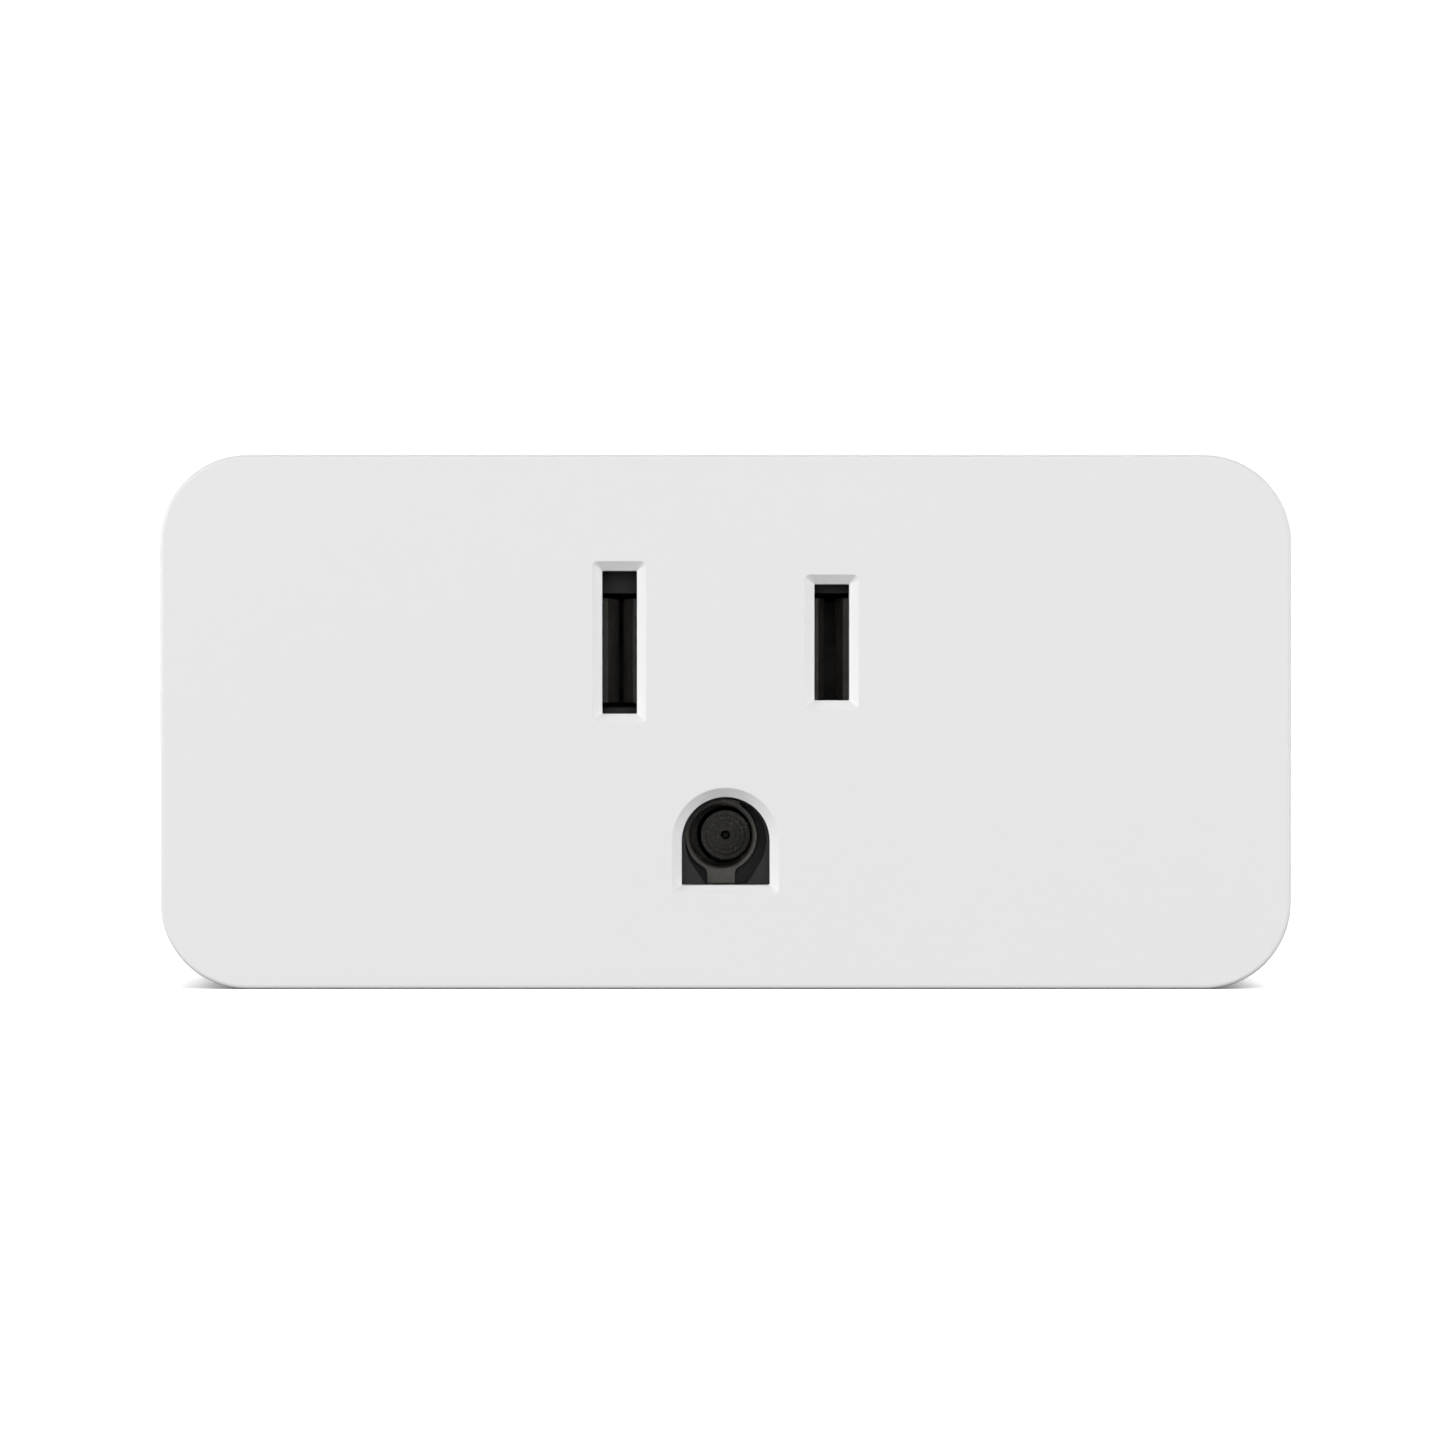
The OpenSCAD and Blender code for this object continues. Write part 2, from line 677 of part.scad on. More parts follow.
// The insulating plate that clamps the prongs' shoulders against the back plate
module prong_carrier() color(black_plastic) {
    half_w = block_w / 2 - 0.9;
    low = ground_z - 4.3;
    high = blade_z + blade_h / 2 + 2.4;
    difference() {
        union() {
            difference() {
                bar([-half_w, carrier_in_y, low], [half_w, back_in_y, high]);
                bar([-half_w + 1, flange_in_y, low + 0.8], [half_w - 1, back_in_y + eps, high - 0.8]);
            }
            for (at = [[-half_w + 1.3, high - 1.3], [half_w - 1.3, high - 1.3], [0, low + 1.2]])
                rod_y(at.x, at.y, board_rear_y, carrier_in_y + eps, 1.1);
        }
        for (s = [-1, 1]) {
            half_t = blade_tab_half_t + hole_slack;
            half_h = blade_tab_h / 2 + hole_slack;
            bar([s * blade_x - half_t, carrier_in_y - eps, blade_z - half_h],
                [s * blade_x + half_t, flange_in_y + eps, blade_z + half_h]);
        }
        rod_y(0, ground_z, carrier_in_y - eps, flange_in_y + eps, stud_r + hole_slack);
    }
}

// The main board, cut away around the screw posts and drilled for every lead
module main_board() color(board_green) {
    half_w = lip_x - board_gap;
    half_h = lip_z - board_gap;
    notch = post_r + board_gap;
    difference() {
        bar([-half_w, board_front_y, -half_h], [half_w, board_rear_y, half_h]);
        for (sx = [-1, 1], sz = [-1, 1]) {
            rod_y(sx * post_x, sz * post_z, board_front_y - eps, board_rear_y + eps, notch);
            x = [sx * post_x, sx * (half_w + eps)];
            z = [sz * post_z, sz * (half_h + eps)];
            bar([min(x), board_front_y - eps, min(z)], [max(x), board_rear_y + eps, max(z)]);
        }
        for (at = round_leads)
            rod_y(at.x, at.y, board_front_y - eps, board_rear_y + eps, lead_r + lead_slack);
        for (s = [-1, 1]) {
            tab_half_t = blade_tab_half_t + lead_slack;
            tab_half_h = blade_tab_h / 2 + lead_slack;
            bar([s * blade_x - tab_half_t, board_front_y - eps, blade_z - tab_half_h],
                [s * blade_x + tab_half_t, board_rear_y + eps, blade_z + tab_half_h]);
            contact_tab_cut(s, board_front_y, board_rear_y);
            rod_y(s * board_screw_x, board_screw_z, board_front_y - eps, board_rear_y + eps,
                  board_screw_r + lead_slack);
        }
        rod_y(0, ground_z, board_front_y - eps, board_rear_y + eps, stud_r + 0.5);
        terminal_slot_half = terminal_half_w + lead_slack;
        bar([relay_x - terminal_slot_half, board_front_y - eps, terminal_z - lead_slack],
            [relay_x + terminal_slot_half, board_rear_y + eps, terminal_z + terminal_t + lead_slack]);
    }
}

// Two screws that hold the main board to the socket block's back
module board_screws() color(grey_metal) {
    for (s = [-1, 1]) difference() {
        union() {
            rod_y(s * board_screw_x, board_screw_z, board_rear_y, board_rear_y + 1.1, 1.7);
            rod_y(s * board_screw_x, board_screw_z, board_front_y - 3.2, board_rear_y + eps, board_screw_r);
        }
        for (a = [0, 90]) translate([s * board_screw_x, board_rear_y + 0.5, board_screw_z]) rotate([0, a, 0])
            bar([-0.2, 0, -1], [0.2, 0.6 + eps, 1]);
    }
}

module control_board() color(board_green) {
    difference() {
        bar([control_in_x, control_front_y, -control_half_h],
            [control_out_x, control_rear_y, control_half_h]);
        for (at = header_leads)
            rod_x(header_y, at.y, control_in_x - eps, control_out_x + eps, pin_half * 1.5 + 0.1);
    }
}

module board_header() color(black_plastic) {
    half = 2 * header_pitch;
    difference() {
        bar([header_in_x, header_y - 1.2, -half], [control_in_x, board_front_y, half]);
        for (at = header_leads) {
            rod_y(at.x, at.y, header_y, board_front_y + eps, lead_r + hole_slack);
            rod_x(header_y, at.y, header_in_x + 0.6, control_in_x + eps, lead_r + hole_slack);
        }
    }
}

// Four right-angle pins between the two boards
module header_pins() color(brass) {
    for (at = header_leads) {
        rod_y(at.x, at.y, header_y, board_rear_y + lead_tail, lead_r);
        rod_x(header_y, at.y, at.x, control_out_x + lead_tail, lead_r);
        translate([at.x, header_y, at.y]) sphere(lead_r);
    }
}

// The radio's shield can, open towards the control board
module radio_can() color(grey_metal) {
    t = 0.2;
    height = 2.1;
    low = [control_in_x - height, control_front_y + 4.4, -control_half_h + 1.2];
    high = [control_in_x, header_y - 2, control_half_h - 1.2];
    difference() {
        bar(low, high);
        bar(low + [t, t, t], high + [eps, -t, -t]);
    }
}

module radio_chip() color(black_plastic) {
    middle_y = (control_front_y + 4.4 + header_y - 2) / 2;
    bar([control_in_x - 0.9, middle_y - 2.5, -2.5], [control_in_x, middle_y + 2.5, 2.5]);
}

// A folded copper track beyond the can, as one unbroken strip
module antenna_trace() color(copper) {
    t = 0.1;
    track = 0.5;
    turns = 5;
    pitch = 1.9;
    reach = 2.6;
    start_z = -turns * pitch / 2;
    low_y = control_front_y + 1.2;
    for (i = [0:turns - 1]) {
        z = start_z + i * pitch;
        far = i % 2 == 0 ? reach - track : 0;
        bar([control_in_x - t, low_y, z], [control_in_x, low_y + reach, z + track]);
        bar([control_in_x - t, low_y + far, z], [control_in_x, low_y + far + track, z + pitch + track]);
    }
}

module status_led() color([0.95, 0.95, 0.85])
    bar([control_out_x, lens_centre_y - 1, -0.65], [control_out_x + 0.9, lens_centre_y + 1, 0.65]);

module switch_body() color(black_plastic) {
    half = switch_size / 2;
    difference() {
        bar([control_out_x, button_centre_y - half, -half],
            [switch_top_x - switch_cover_t, button_centre_y + half, half]);
        rod_x(button_centre_y, 0, switch_floor_x, switch_top_x, plunger_r + 0.9);
    }
}

module switch_cover() color(grey_metal) {
    half = switch_size / 2;
    difference() {
        bar([switch_top_x - switch_cover_t, button_centre_y - half, -half],
            [switch_top_x, button_centre_y + half, half]);
        rod_x(button_centre_y, 0, switch_top_x - 1, switch_top_x + eps, plunger_r + 0.1);
    }
}

// The snap dome that gives the click and lifts the plunger again
module switch_dome() color(grey_metal) {
    rim = 2.2;
    top = 1;
    translate([switch_floor_x, button_centre_y, 0]) rotate([0, 90, 0]) difference() {
        cylinder(h = dome_rise + dome_t, r1 = rim, r2 = top);
        translate([0, 0, -eps]) cylinder(h = dome_rise + eps, r1 = rim - dome_t, r2 = top - dome_t);
    }
}

module switch_plunger() color(black_plastic) {
    collar_top_x = switch_top_x - switch_cover_t - 0.1;
    rod_x(button_centre_y, 0, collar_top_x - 0.5, plunger_tip_x, plunger_r);
    rod_x(button_centre_y, 0, collar_top_x - 0.5, collar_top_x, plunger_r + 0.6);
    rod_x(button_centre_y, 0, switch_floor_x + dome_rise + dome_t, collar_top_x - 0.5 + eps, 0.8);
}

// Depth of a height above the main board
function above_board(height) = board_front_y - height;

module relay_case() color([0.12, 0.12, 0.13]) {
    half_w = relay_w / 2;
    half_l = relay_l / 2;
    t = relay_wall;
    difference() {
        bar([relay_x - half_w, above_board(relay_h), -half_l],
            [relay_x + half_w, above_board(relay_lift), half_l]);
        bar([relay_x - half_w + t, above_board(relay_h - t), -half_l + t],
            [relay_x + half_w - t, above_board(relay_lift) + eps, half_l - t]);
    }
}

module relay_base() color(black_plastic) {
    half_w = relay_w / 2 - relay_wall - hole_slack;
    half_l = relay_l / 2 - relay_wall - hole_slack;
    low = above_board(relay_lift + relay_base_t);
    high = above_board(relay_lift);
    difference() {
        bar([relay_x - half_w, low, -half_l], [relay_x + half_w, high, half_l]);
        for (at = relay_leads) rod_y(at.x, at.y, low - eps, high + eps, lead_r + hole_slack);
        bar([relay_x - terminal_half_w - hole_slack, low - eps, terminal_z - hole_slack],
            [relay_x + terminal_half_w + hole_slack, high + eps, terminal_z + terminal_t + hole_slack]);
    }
}

// The coil former: a barrel between two square flanges, bored for the core
module relay_bobbin() color([0.85, 0.85, 0.8]) {
    y = above_board(coil_axis);
    difference() {
        union() {
            rod_z(relay_x, y, coil_low_z - eps, coil_high_z + eps, barrel_r);
            for (z = [coil_low_z - flange_z, coil_high_z])
                bar([relay_x - 4.1, y - 4.1, z], [relay_x + 4.1, y + 4.1, z + flange_z]);
        }
        rod_z(relay_x, y, coil_low_z - flange_z - eps, coil_high_z + flange_z + eps, core_r + hole_slack);
    }
}

module relay_coil() color(copper) {
    y = above_board(coil_axis);
    difference() {
        rod_z(relay_x, y, coil_low_z, coil_high_z, winding_r);
        rod_z(relay_x, y, coil_low_z - eps, coil_high_z + eps, barrel_r);
    }
}

// The iron core with its pole disc
module relay_core() color(grey_metal) {
    y = above_board(coil_axis);
    rod_z(relay_x, y, coil_low_z - flange_z - yoke_t, pole_face_z, core_r);
    rod_z(relay_x, y, coil_high_z + flange_z + 0.1, pole_face_z, pole_r);
}

// The L-shaped iron yoke around the coil
module relay_yoke() color(grey_metal) {
    y = above_board(coil_axis);
    rear_z = coil_low_z - flange_z;
    difference() {
        union() {
            bar([relay_x - 3.6, above_board(yoke_top + yoke_t), rear_z - yoke_t],
                [relay_x + 3.6, y + 3.4, rear_z]);
            bar([relay_x - 3.6, above_board(yoke_top + yoke_t), rear_z - eps],
                [relay_x + 3.6, above_board(yoke_top), hinge_z]);
            rod_x(above_board(hinge_height), hinge_z, relay_x - 3.6, relay_x + 3.6, hinge_r);
        }
        rod_z(relay_x, y, rear_z - yoke_t - eps, rear_z + eps, core_r + hole_slack);
    }
}

// Swings its children, drawn with the contacts closed, open about the yoke's round edge
module swung_open() {
    y = above_board(hinge_height);
    translate([0, y, hinge_z]) rotate([armature_tilt, 0, 0]) translate([0, -y, -hinge_z]) children();
}

// The open place, in Y and Z, of a point given at its closed height and Z
function opened(height, z) =
    let (
        hinge = [above_board(hinge_height), hinge_z],
        d = [above_board(height), z] - hinge,
        c = cos(armature_tilt),
        s = sin(armature_tilt)
    )
    hinge + [d[0] * c - d[1] * s, d[0] * s + d[1] * c];

// The hinged iron plate that the pole pulls
module relay_armature() color(grey_metal) swung_open()
    bar([relay_x - 3.4, above_board(hinge_height + 0.6), armature_face_z],
        [relay_x + 3.4, above_board(4.2), armature_face_z + armature_t]);

// The springy leaf on the armature, which carries the moving contact
module relay_contact_leaf() color(copper) swung_open()
    bar([relay_x - 1.9, above_board(9.4), leaf_z], [relay_x + 1.9, above_board(1.7), leaf_z + leaf_t]);

module relay_moving_contact() color(grey_metal) swung_open()
    rod_z(relay_x, above_board(contact_height), leaf_z - contact_button_t, leaf_z, contact_button_r);

// The bent return spring, from the yoke's top over the hinge to the armature
module relay_return_spring() color(copper) {
    half = spring_t / 2;
    top_y = above_board(yoke_top + yoke_t) - half;
    arm_z = leaf_z + half + 0.02;
    along_x(relay_x - 2.4, relay_x + 2.4) bent_strip([
        [top_y, -1], [top_y, hinge_z - 0.2], [top_y - 0.7, hinge_z + 0.4], [top_y - 0.8, leaf_z - 0.1],
        opened(hinge_height + 0.35, arm_z), opened(hinge_height - 0.4, arm_z), opened(10, arm_z)
    ], half);
}

module relay_fixed_contact() color(grey_metal) {
    rod_z(relay_x, above_board(contact_height), fixed_face_z - contact_button_t, fixed_face_z,
          contact_button_r);
}

// The plate that carries the fixed contact down through the base and the board
module relay_fixed_terminal() color(copper) {
    bar([relay_x - terminal_half_w, above_board(contact_height + 1), terminal_z],
        [relay_x + terminal_half_w, board_rear_y + lead_tail, terminal_z + terminal_t]);
}

module relay_pins() color(grey_metal) {
    for (at = relay_leads) rod_y(at.x, at.y, above_board(2.2), board_rear_y + lead_tail, lead_r);
}

// Round leads from a part's foot to just past the board
module leads(points, foot_y) for (at = points) rod_y(at.x, at.y, foot_y, board_rear_y + lead_tail, lead_r);

// The aluminium cans of the two mains capacitors, with their leads
module capacitor_cans() color(grey_metal) {
    foot_y = board_front_y - stand_off;
    for (z = capacitor_zs) rod_y(capacitor_x, z, foot_y - capacitor_h, foot_y, capacitor_r - 0.15);
    leads(capacitor_leads, foot_y - eps);
}

// The printed sleeves shrunk round the cans, turned over the edge of each top
module capacitor_sleeves() color([0.1, 0.12, 0.25]) {
    foot_y = board_front_y - stand_off;
    for (z = capacitor_zs) difference() {
        rod_y(capacitor_x, z, foot_y - capacitor_h - 0.15, foot_y, capacitor_r);
        rod_y(capacitor_x, z, foot_y - capacitor_h, foot_y + eps, capacitor_r - 0.15);
        rod_y(capacitor_x, z, foot_y - capacitor_h - 1, foot_y, capacitor_r - 0.9);
    }
}

module output_capacitor() color([0.1, 0.12, 0.25]) {
    foot_y = board_front_y - stand_off;
    rod_y(output_capacitor_at.x, output_capacitor_at.y, foot_y - output_capacitor_h, foot_y,
          output_capacitor_r);
    leads(output_leads, foot_y - eps);
}

// The surge suppressor: a round disc standing on its leads
module varistor() color([0.1, 0.25, 0.6]) {
    centre_y = board_front_y - 0.8 - varistor_r;
    half_t = varistor_t / 2;
    rod_z(varistor_at.x, centre_y, varistor_at.y - half_t, varistor_at.y + half_t, varistor_r);
    leads(varistor_leads, centre_y + 1);
}

// The fusible resistor: it stands on one lead, and the other is bent over its top
module fuse_resistor() color([0.2, 0.45, 0.4]) {
    foot_y = board_front_y - 0.8;
    top_y = foot_y - fuse_h;
    rod_y(fuse_at.x, fuse_at.y, top_y, foot_y, fuse_r);
    rod_y(fuse_leads[0].x, fuse_leads[0].y, top_y - 0.8, board_rear_y + lead_tail, lead_r);
    rod_y(fuse_leads[1].x, fuse_leads[1].y, top_y - 0.8, board_rear_y + lead_tail, lead_r);
    rod_z(fuse_at.x, top_y - 0.8, fuse_leads[1].y, fuse_leads[0].y, lead_r);
    for (at = fuse_leads) translate([at.x, top_y - 0.8, at.y]) sphere(lead_r);
}

// Both halves of the ferrite core: three legs between two yokes
module transformer_core() color([0.2, 0.2, 0.21]) {
    for (y = [core_front_y, core_rear_y - core_yoke])
        bar([transformer_x - core_half_x, y, -core_half_z],
            [transformer_x + core_half_x, y + core_yoke, core_half_z]);
    for (z = [-core_half_z, -core_leg, core_half_z - core_leg])
        bar([transformer_x - core_half_x, core_front_y, z],
            [transformer_x + core_half_x, core_rear_y, z + (z == -core_leg ? 2 : 1) * core_leg]);
}

// The former: a square tube round the middle leg, two flanges and a foot with the pins
module transformer_bobbin() color(black_plastic) {
    inner_x = core_half_x + slip;
    inner_z = core_leg + slip;
    y0 = core_front_y + core_yoke + slip;
    y1 = core_rear_y - core_yoke - slip;
    foot_low = core_rear_y + slip;
    foot_high = board_front_y - stand_off;
    difference() {
        union() {
            bar([transformer_x - inner_x - tube_t, y0, -inner_z - tube_t],
                [transformer_x + inner_x + tube_t, y1, inner_z + tube_t]);
            for (y = [y0, y1 - bobbin_flange])
                bar([transformer_x - bobbin_half_x, y, -bobbin_half_z],
                    [transformer_x + bobbin_half_x, y + bobbin_flange, bobbin_half_z]);
        }
        bar([transformer_x - inner_x, y0 - eps, -inner_z], [transformer_x + inner_x, y1 + eps, inner_z]);
    }
    for (s = [-1, 1]) {
        web = [s * (core_half_x + slip), s * bobbin_half_x];
        bar([transformer_x + min(web), y1 - eps, -bobbin_half_z],
            [transformer_x + max(web), foot_low + eps, bobbin_half_z]);
    }
    difference() {
        bar([transformer_x - bobbin_half_x, foot_low, -core_half_z],
            [transformer_x + bobbin_half_x, foot_high, core_half_z]);
        for (at = transformer_leads) rod_y(at.x, at.y, foot_low + 0.3, foot_high + eps, lead_r + hole_slack);
    }
}

// The windings under their yellow tape
module transformer_winding() color([0.85, 0.7, 0.1]) {
    tube_x = core_half_x + slip + tube_t;
    tube_z = core_leg + slip + tube_t;
    y0 = core_front_y + core_yoke + slip + bobbin_flange;
    y1 = core_rear_y - core_yoke - slip - bobbin_flange;
    difference() {
        translate([transformer_x, 0, 0])
            along_y(y0, y1) rounded_rect(bobbin_half_x - 0.2, bobbin_half_z - 0.1, 0.8);
        bar([transformer_x - tube_x, y0 - eps, -tube_z], [transformer_x + tube_x, y1 + eps, tube_z]);
    }
}

module transformer_pins() color(grey_metal) leads(transformer_leads, core_rear_y + slip + 0.5);

// A moulded chip on the board's rear face, with four legs on each side
module board_chip(x, z, width, height, thick) {
    bar([x - width / 2, board_rear_y + 0.1, z - height / 2],
        [x + width / 2, board_rear_y + thick, z + height / 2]);
    for (s = [-1, 1], i = [-1.5:1:1.5]) {
        leg_z = [s * (height / 2 - eps), s * (height / 2 + 0.9)];
        bar([x + i * width / 4 - 0.2, board_rear_y, z + min(leg_z)],
            [x + i * width / 4 + 0.2, board_rear_y + 0.3, z + max(leg_z)]);
    }
}

module supply_chip() color(black_plastic)
    board_chip(capacitor_x, (capacitor_zs[0] + capacitor_zs[1]) / 2, 4.9, 3.9, 1.5);

module bridge_rectifier() color(black_plastic)
    board_chip(capacitor_x, (capacitor_zs[1] + varistor_at.y) / 2, 4.4, 3.6, 1.4);

front_shell();
rear_cover();
cover_screws();
button_cap();
status_lens();
socket_block();
socket_block_back();
neutral_contact();
live_contact();
ground_contact();
neutral_blade();
live_blade();
ground_pin();
ground_strap();
prong_carrier();
main_board();
board_screws();
control_board();
board_header();
header_pins();
radio_can();
radio_chip();
antenna_trace();
status_led();
switch_body();
switch_cover();
switch_dome();
switch_plunger();
relay_case();
relay_base();
relay_bobbin();
relay_coil();
relay_core();
relay_yoke();
relay_armature();
relay_contact_leaf();
relay_moving_contact();
relay_return_spring();
relay_fixed_contact();
relay_fixed_terminal();
relay_pins();
capacitor_cans();
capacitor_sleeves();
output_capacitor();
varistor();
fuse_resistor();
transformer_core();
transformer_bobbin();
transformer_winding();
transformer_pins();
supply_chip();
bridge_rectifier();
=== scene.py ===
import json

import bmesh
import bpy
import numpy as np
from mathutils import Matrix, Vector
from mathutils.geometry import tessellate_polygon


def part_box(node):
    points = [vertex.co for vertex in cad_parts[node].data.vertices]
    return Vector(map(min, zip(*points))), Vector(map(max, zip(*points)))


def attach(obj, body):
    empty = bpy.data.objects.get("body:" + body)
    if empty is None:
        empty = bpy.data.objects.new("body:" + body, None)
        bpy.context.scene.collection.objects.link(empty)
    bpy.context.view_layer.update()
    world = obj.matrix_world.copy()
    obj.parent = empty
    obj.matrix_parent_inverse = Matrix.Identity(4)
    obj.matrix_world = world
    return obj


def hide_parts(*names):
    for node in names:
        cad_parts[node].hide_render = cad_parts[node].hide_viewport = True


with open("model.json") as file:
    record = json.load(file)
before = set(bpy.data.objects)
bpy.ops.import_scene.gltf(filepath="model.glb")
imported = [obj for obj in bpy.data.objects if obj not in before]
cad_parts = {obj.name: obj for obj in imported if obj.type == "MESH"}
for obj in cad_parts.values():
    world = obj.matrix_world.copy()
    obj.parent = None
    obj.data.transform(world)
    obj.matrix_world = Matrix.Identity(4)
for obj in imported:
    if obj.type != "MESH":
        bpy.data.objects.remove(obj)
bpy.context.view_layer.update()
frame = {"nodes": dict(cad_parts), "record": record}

MM = 0.001
SIDES = (-1, 1)
# The two directions across each axis, then the axis itself
ACROSS = {"x": (1, 2, 0), "y": (0, 2, 1), "z": (0, 1, 2)}


def box_mm(node):
    """Lowest and highest corner of a CAD node, in millimetres."""
    low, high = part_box(node)
    return np.array(low) / MM, np.array(high) / MM


# ---- Sizes in millimetres, from the frame's boxes where a box gives them ----

# Casing
shell_low, shell_high = box_mm("front_shell")
cover_low, _ = box_mm("rear_cover")
half_w, half_h = shell_high[0], shell_high[2]
front_y, seam_y = shell_low[1], shell_high[1]
corner_r = 5.2
wall = 1.9
slip = 0.1
reveal = 0.2
lip_t = 0.9
back_t = 2.2
face_in_y = front_y + wall
cover_front_y = seam_y + reveal
lip_end_y = cover_low[1] + slip
back_in_y = -back_t
in_x = half_w - wall
front_edge_r = 0.25
back_edge_r = 0.45
seam_edge_r = 0.12

# Screw posts, one at each corner's centre
post_x, post_z = half_w - corner_r, half_h - corner_r
posts = [(sx * post_x, sz * post_z) for sx in SIDES for sz in SIDES]
post_r = 2.6
post_end_y = cover_low[1]

# Openings in the face
flare = 0.56
slot_half_w = 1.045
slot_corner_r = 0.07
ground_corner_r = 0.09
neutral_half_h, live_half_h = 4.275, 3.475
ground_half = 2.635
mitre = 0.42  # A nearly sharp corner's radius grows by this share of the flare

# Prongs and contacts
blade_low, blade_high = box_mm("live_blade")
blade_x = (blade_low[0] + blade_high[0]) / 2
blade_z = (blade_low[2] + blade_high[2]) / 2
blade_half_t, blade_half_h = 0.76, 3.175
pin_low, pin_high = box_mm("ground_pin")
ground_z = (pin_low[2] + pin_high[2]) / 2
pin_collar_r = 2.59
block_low, block_high = box_mm("socket_block")
contact_low, contact_high = box_mm("neutral_contact")
contact_z, contact_half_h = (contact_low[2] + contact_high[2]) / 2, (contact_high[2] - contact_low[2]) / 2

# Button and light guide in the side wall, their centres as (y, z)
cap_low, cap_high = box_mm("button_cap")
button_at = ((cap_low[1] + cap_high[1]) / 2, (cap_low[2] + cap_high[2]) / 2)
button_flange = 0.7
button_gap = 0.12
button_half_l = (cap_high[1] - cap_low[1]) / 2 - button_flange
button_half_h = (cap_high[2] - cap_low[2]) / 2 - button_flange
lens_low, lens_high = box_mm("status_lens")
lens_at = ((lens_low[1] + lens_high[1]) / 2, (lens_low[2] + lens_high[2]) / 2)
lens_r = 0.9
lens_gap = 0.05


# ---- Lines, loops and skins ----

def rounded_line(corners, radii, steps=4, hold=0.04):
    """A line through (offset, depth) corners. Each inner corner becomes an arc of its radius, whose centre
    is on the corner's bisector, with a holding point just before and just after it. A radius of 0 keeps
    the corner."""
    line = [np.array(corners[0], float)]
    for before, corner, after, radius in zip(corners, corners[1:], corners[2:], radii):
        corner = np.array(corner, float)
        back = (before - corner) / np.linalg.norm(before - corner)
        ahead = (after - corner) / np.linalg.norm(after - corner)
        if radius == 0:
            line.append(corner)
            continue
        half = np.arccos(np.clip(back @ ahead, -1, 1)) / 2
        middle = (back + ahead) / np.linalg.norm(back + ahead)
        centre = corner + middle * radius / np.sin(half)
        start, end = (corner + d * radius / np.tan(half) for d in (back, ahead))
        turn = np.pi - 2 * half
        t = np.linspace(0, 1, steps + 1)[:, None]
        spokes = np.sin((1 - t) * turn) * (start - centre) + np.sin(t * turn) * (end - centre)
        line += [start + back * hold, *(centre + spokes / np.sin(turn)), end + ahead * hold]
    line.append(np.array(corners[-1], float))
    return np.array(line)


def corner_loops(half_a, half_b, radii, steps=8):
    """Rings of a rectangle with round corners, one ring per row. Corner k's points are its centre plus its
    radius times (cos, sin) of an angle that runs over the k-th quarter turn. radii is one number, one
    number for each of the four corners, or a row of them for each ring. Points that repeat in every ring
    are left out."""
    half_a = np.atleast_1d(np.asarray(half_a, float))[:, None, None]
    half_b = np.atleast_1d(np.asarray(half_b, float))[:, None, None]
    radii = np.atleast_2d(np.asarray(radii, float) * np.ones(4))[:, :, None]
    turn = np.linspace(0, np.pi / 2, steps + 1) + np.pi / 2 * np.arange(4)[:, None]
    side_a, side_b = np.array([1, -1, -1, 1])[:, None], np.array([1, 1, -1, -1])[:, None]
    a = side_a * (half_a - radii) + radii * np.cos(turn)
    b = side_b * (half_b - radii) + radii * np.sin(turn)
    a, b = np.broadcast_arrays(a, b)
    loops = np.stack([a, b], axis=-1).reshape(a.shape[0], -1, 2)
    stride = np.abs(np.roll(loops, -1, axis=1) - loops).max(axis=(0, 2))
    return loops[:, stride > 1e-6]


def placed(loops, depth, centre=(0, 0), along="y"):
    """Flat loops set at their depths along an axis and at a centre across it."""
    i, j, k = ACROSS[along]
    points = np.empty(loops.shape[:2] + (3,))
    points[..., i] = centre[0] + loops[..., 0]
    points[..., j] = centre[1] + loops[..., 1]
    points[..., k] = np.asarray(depth, float)[:, None]
    return points


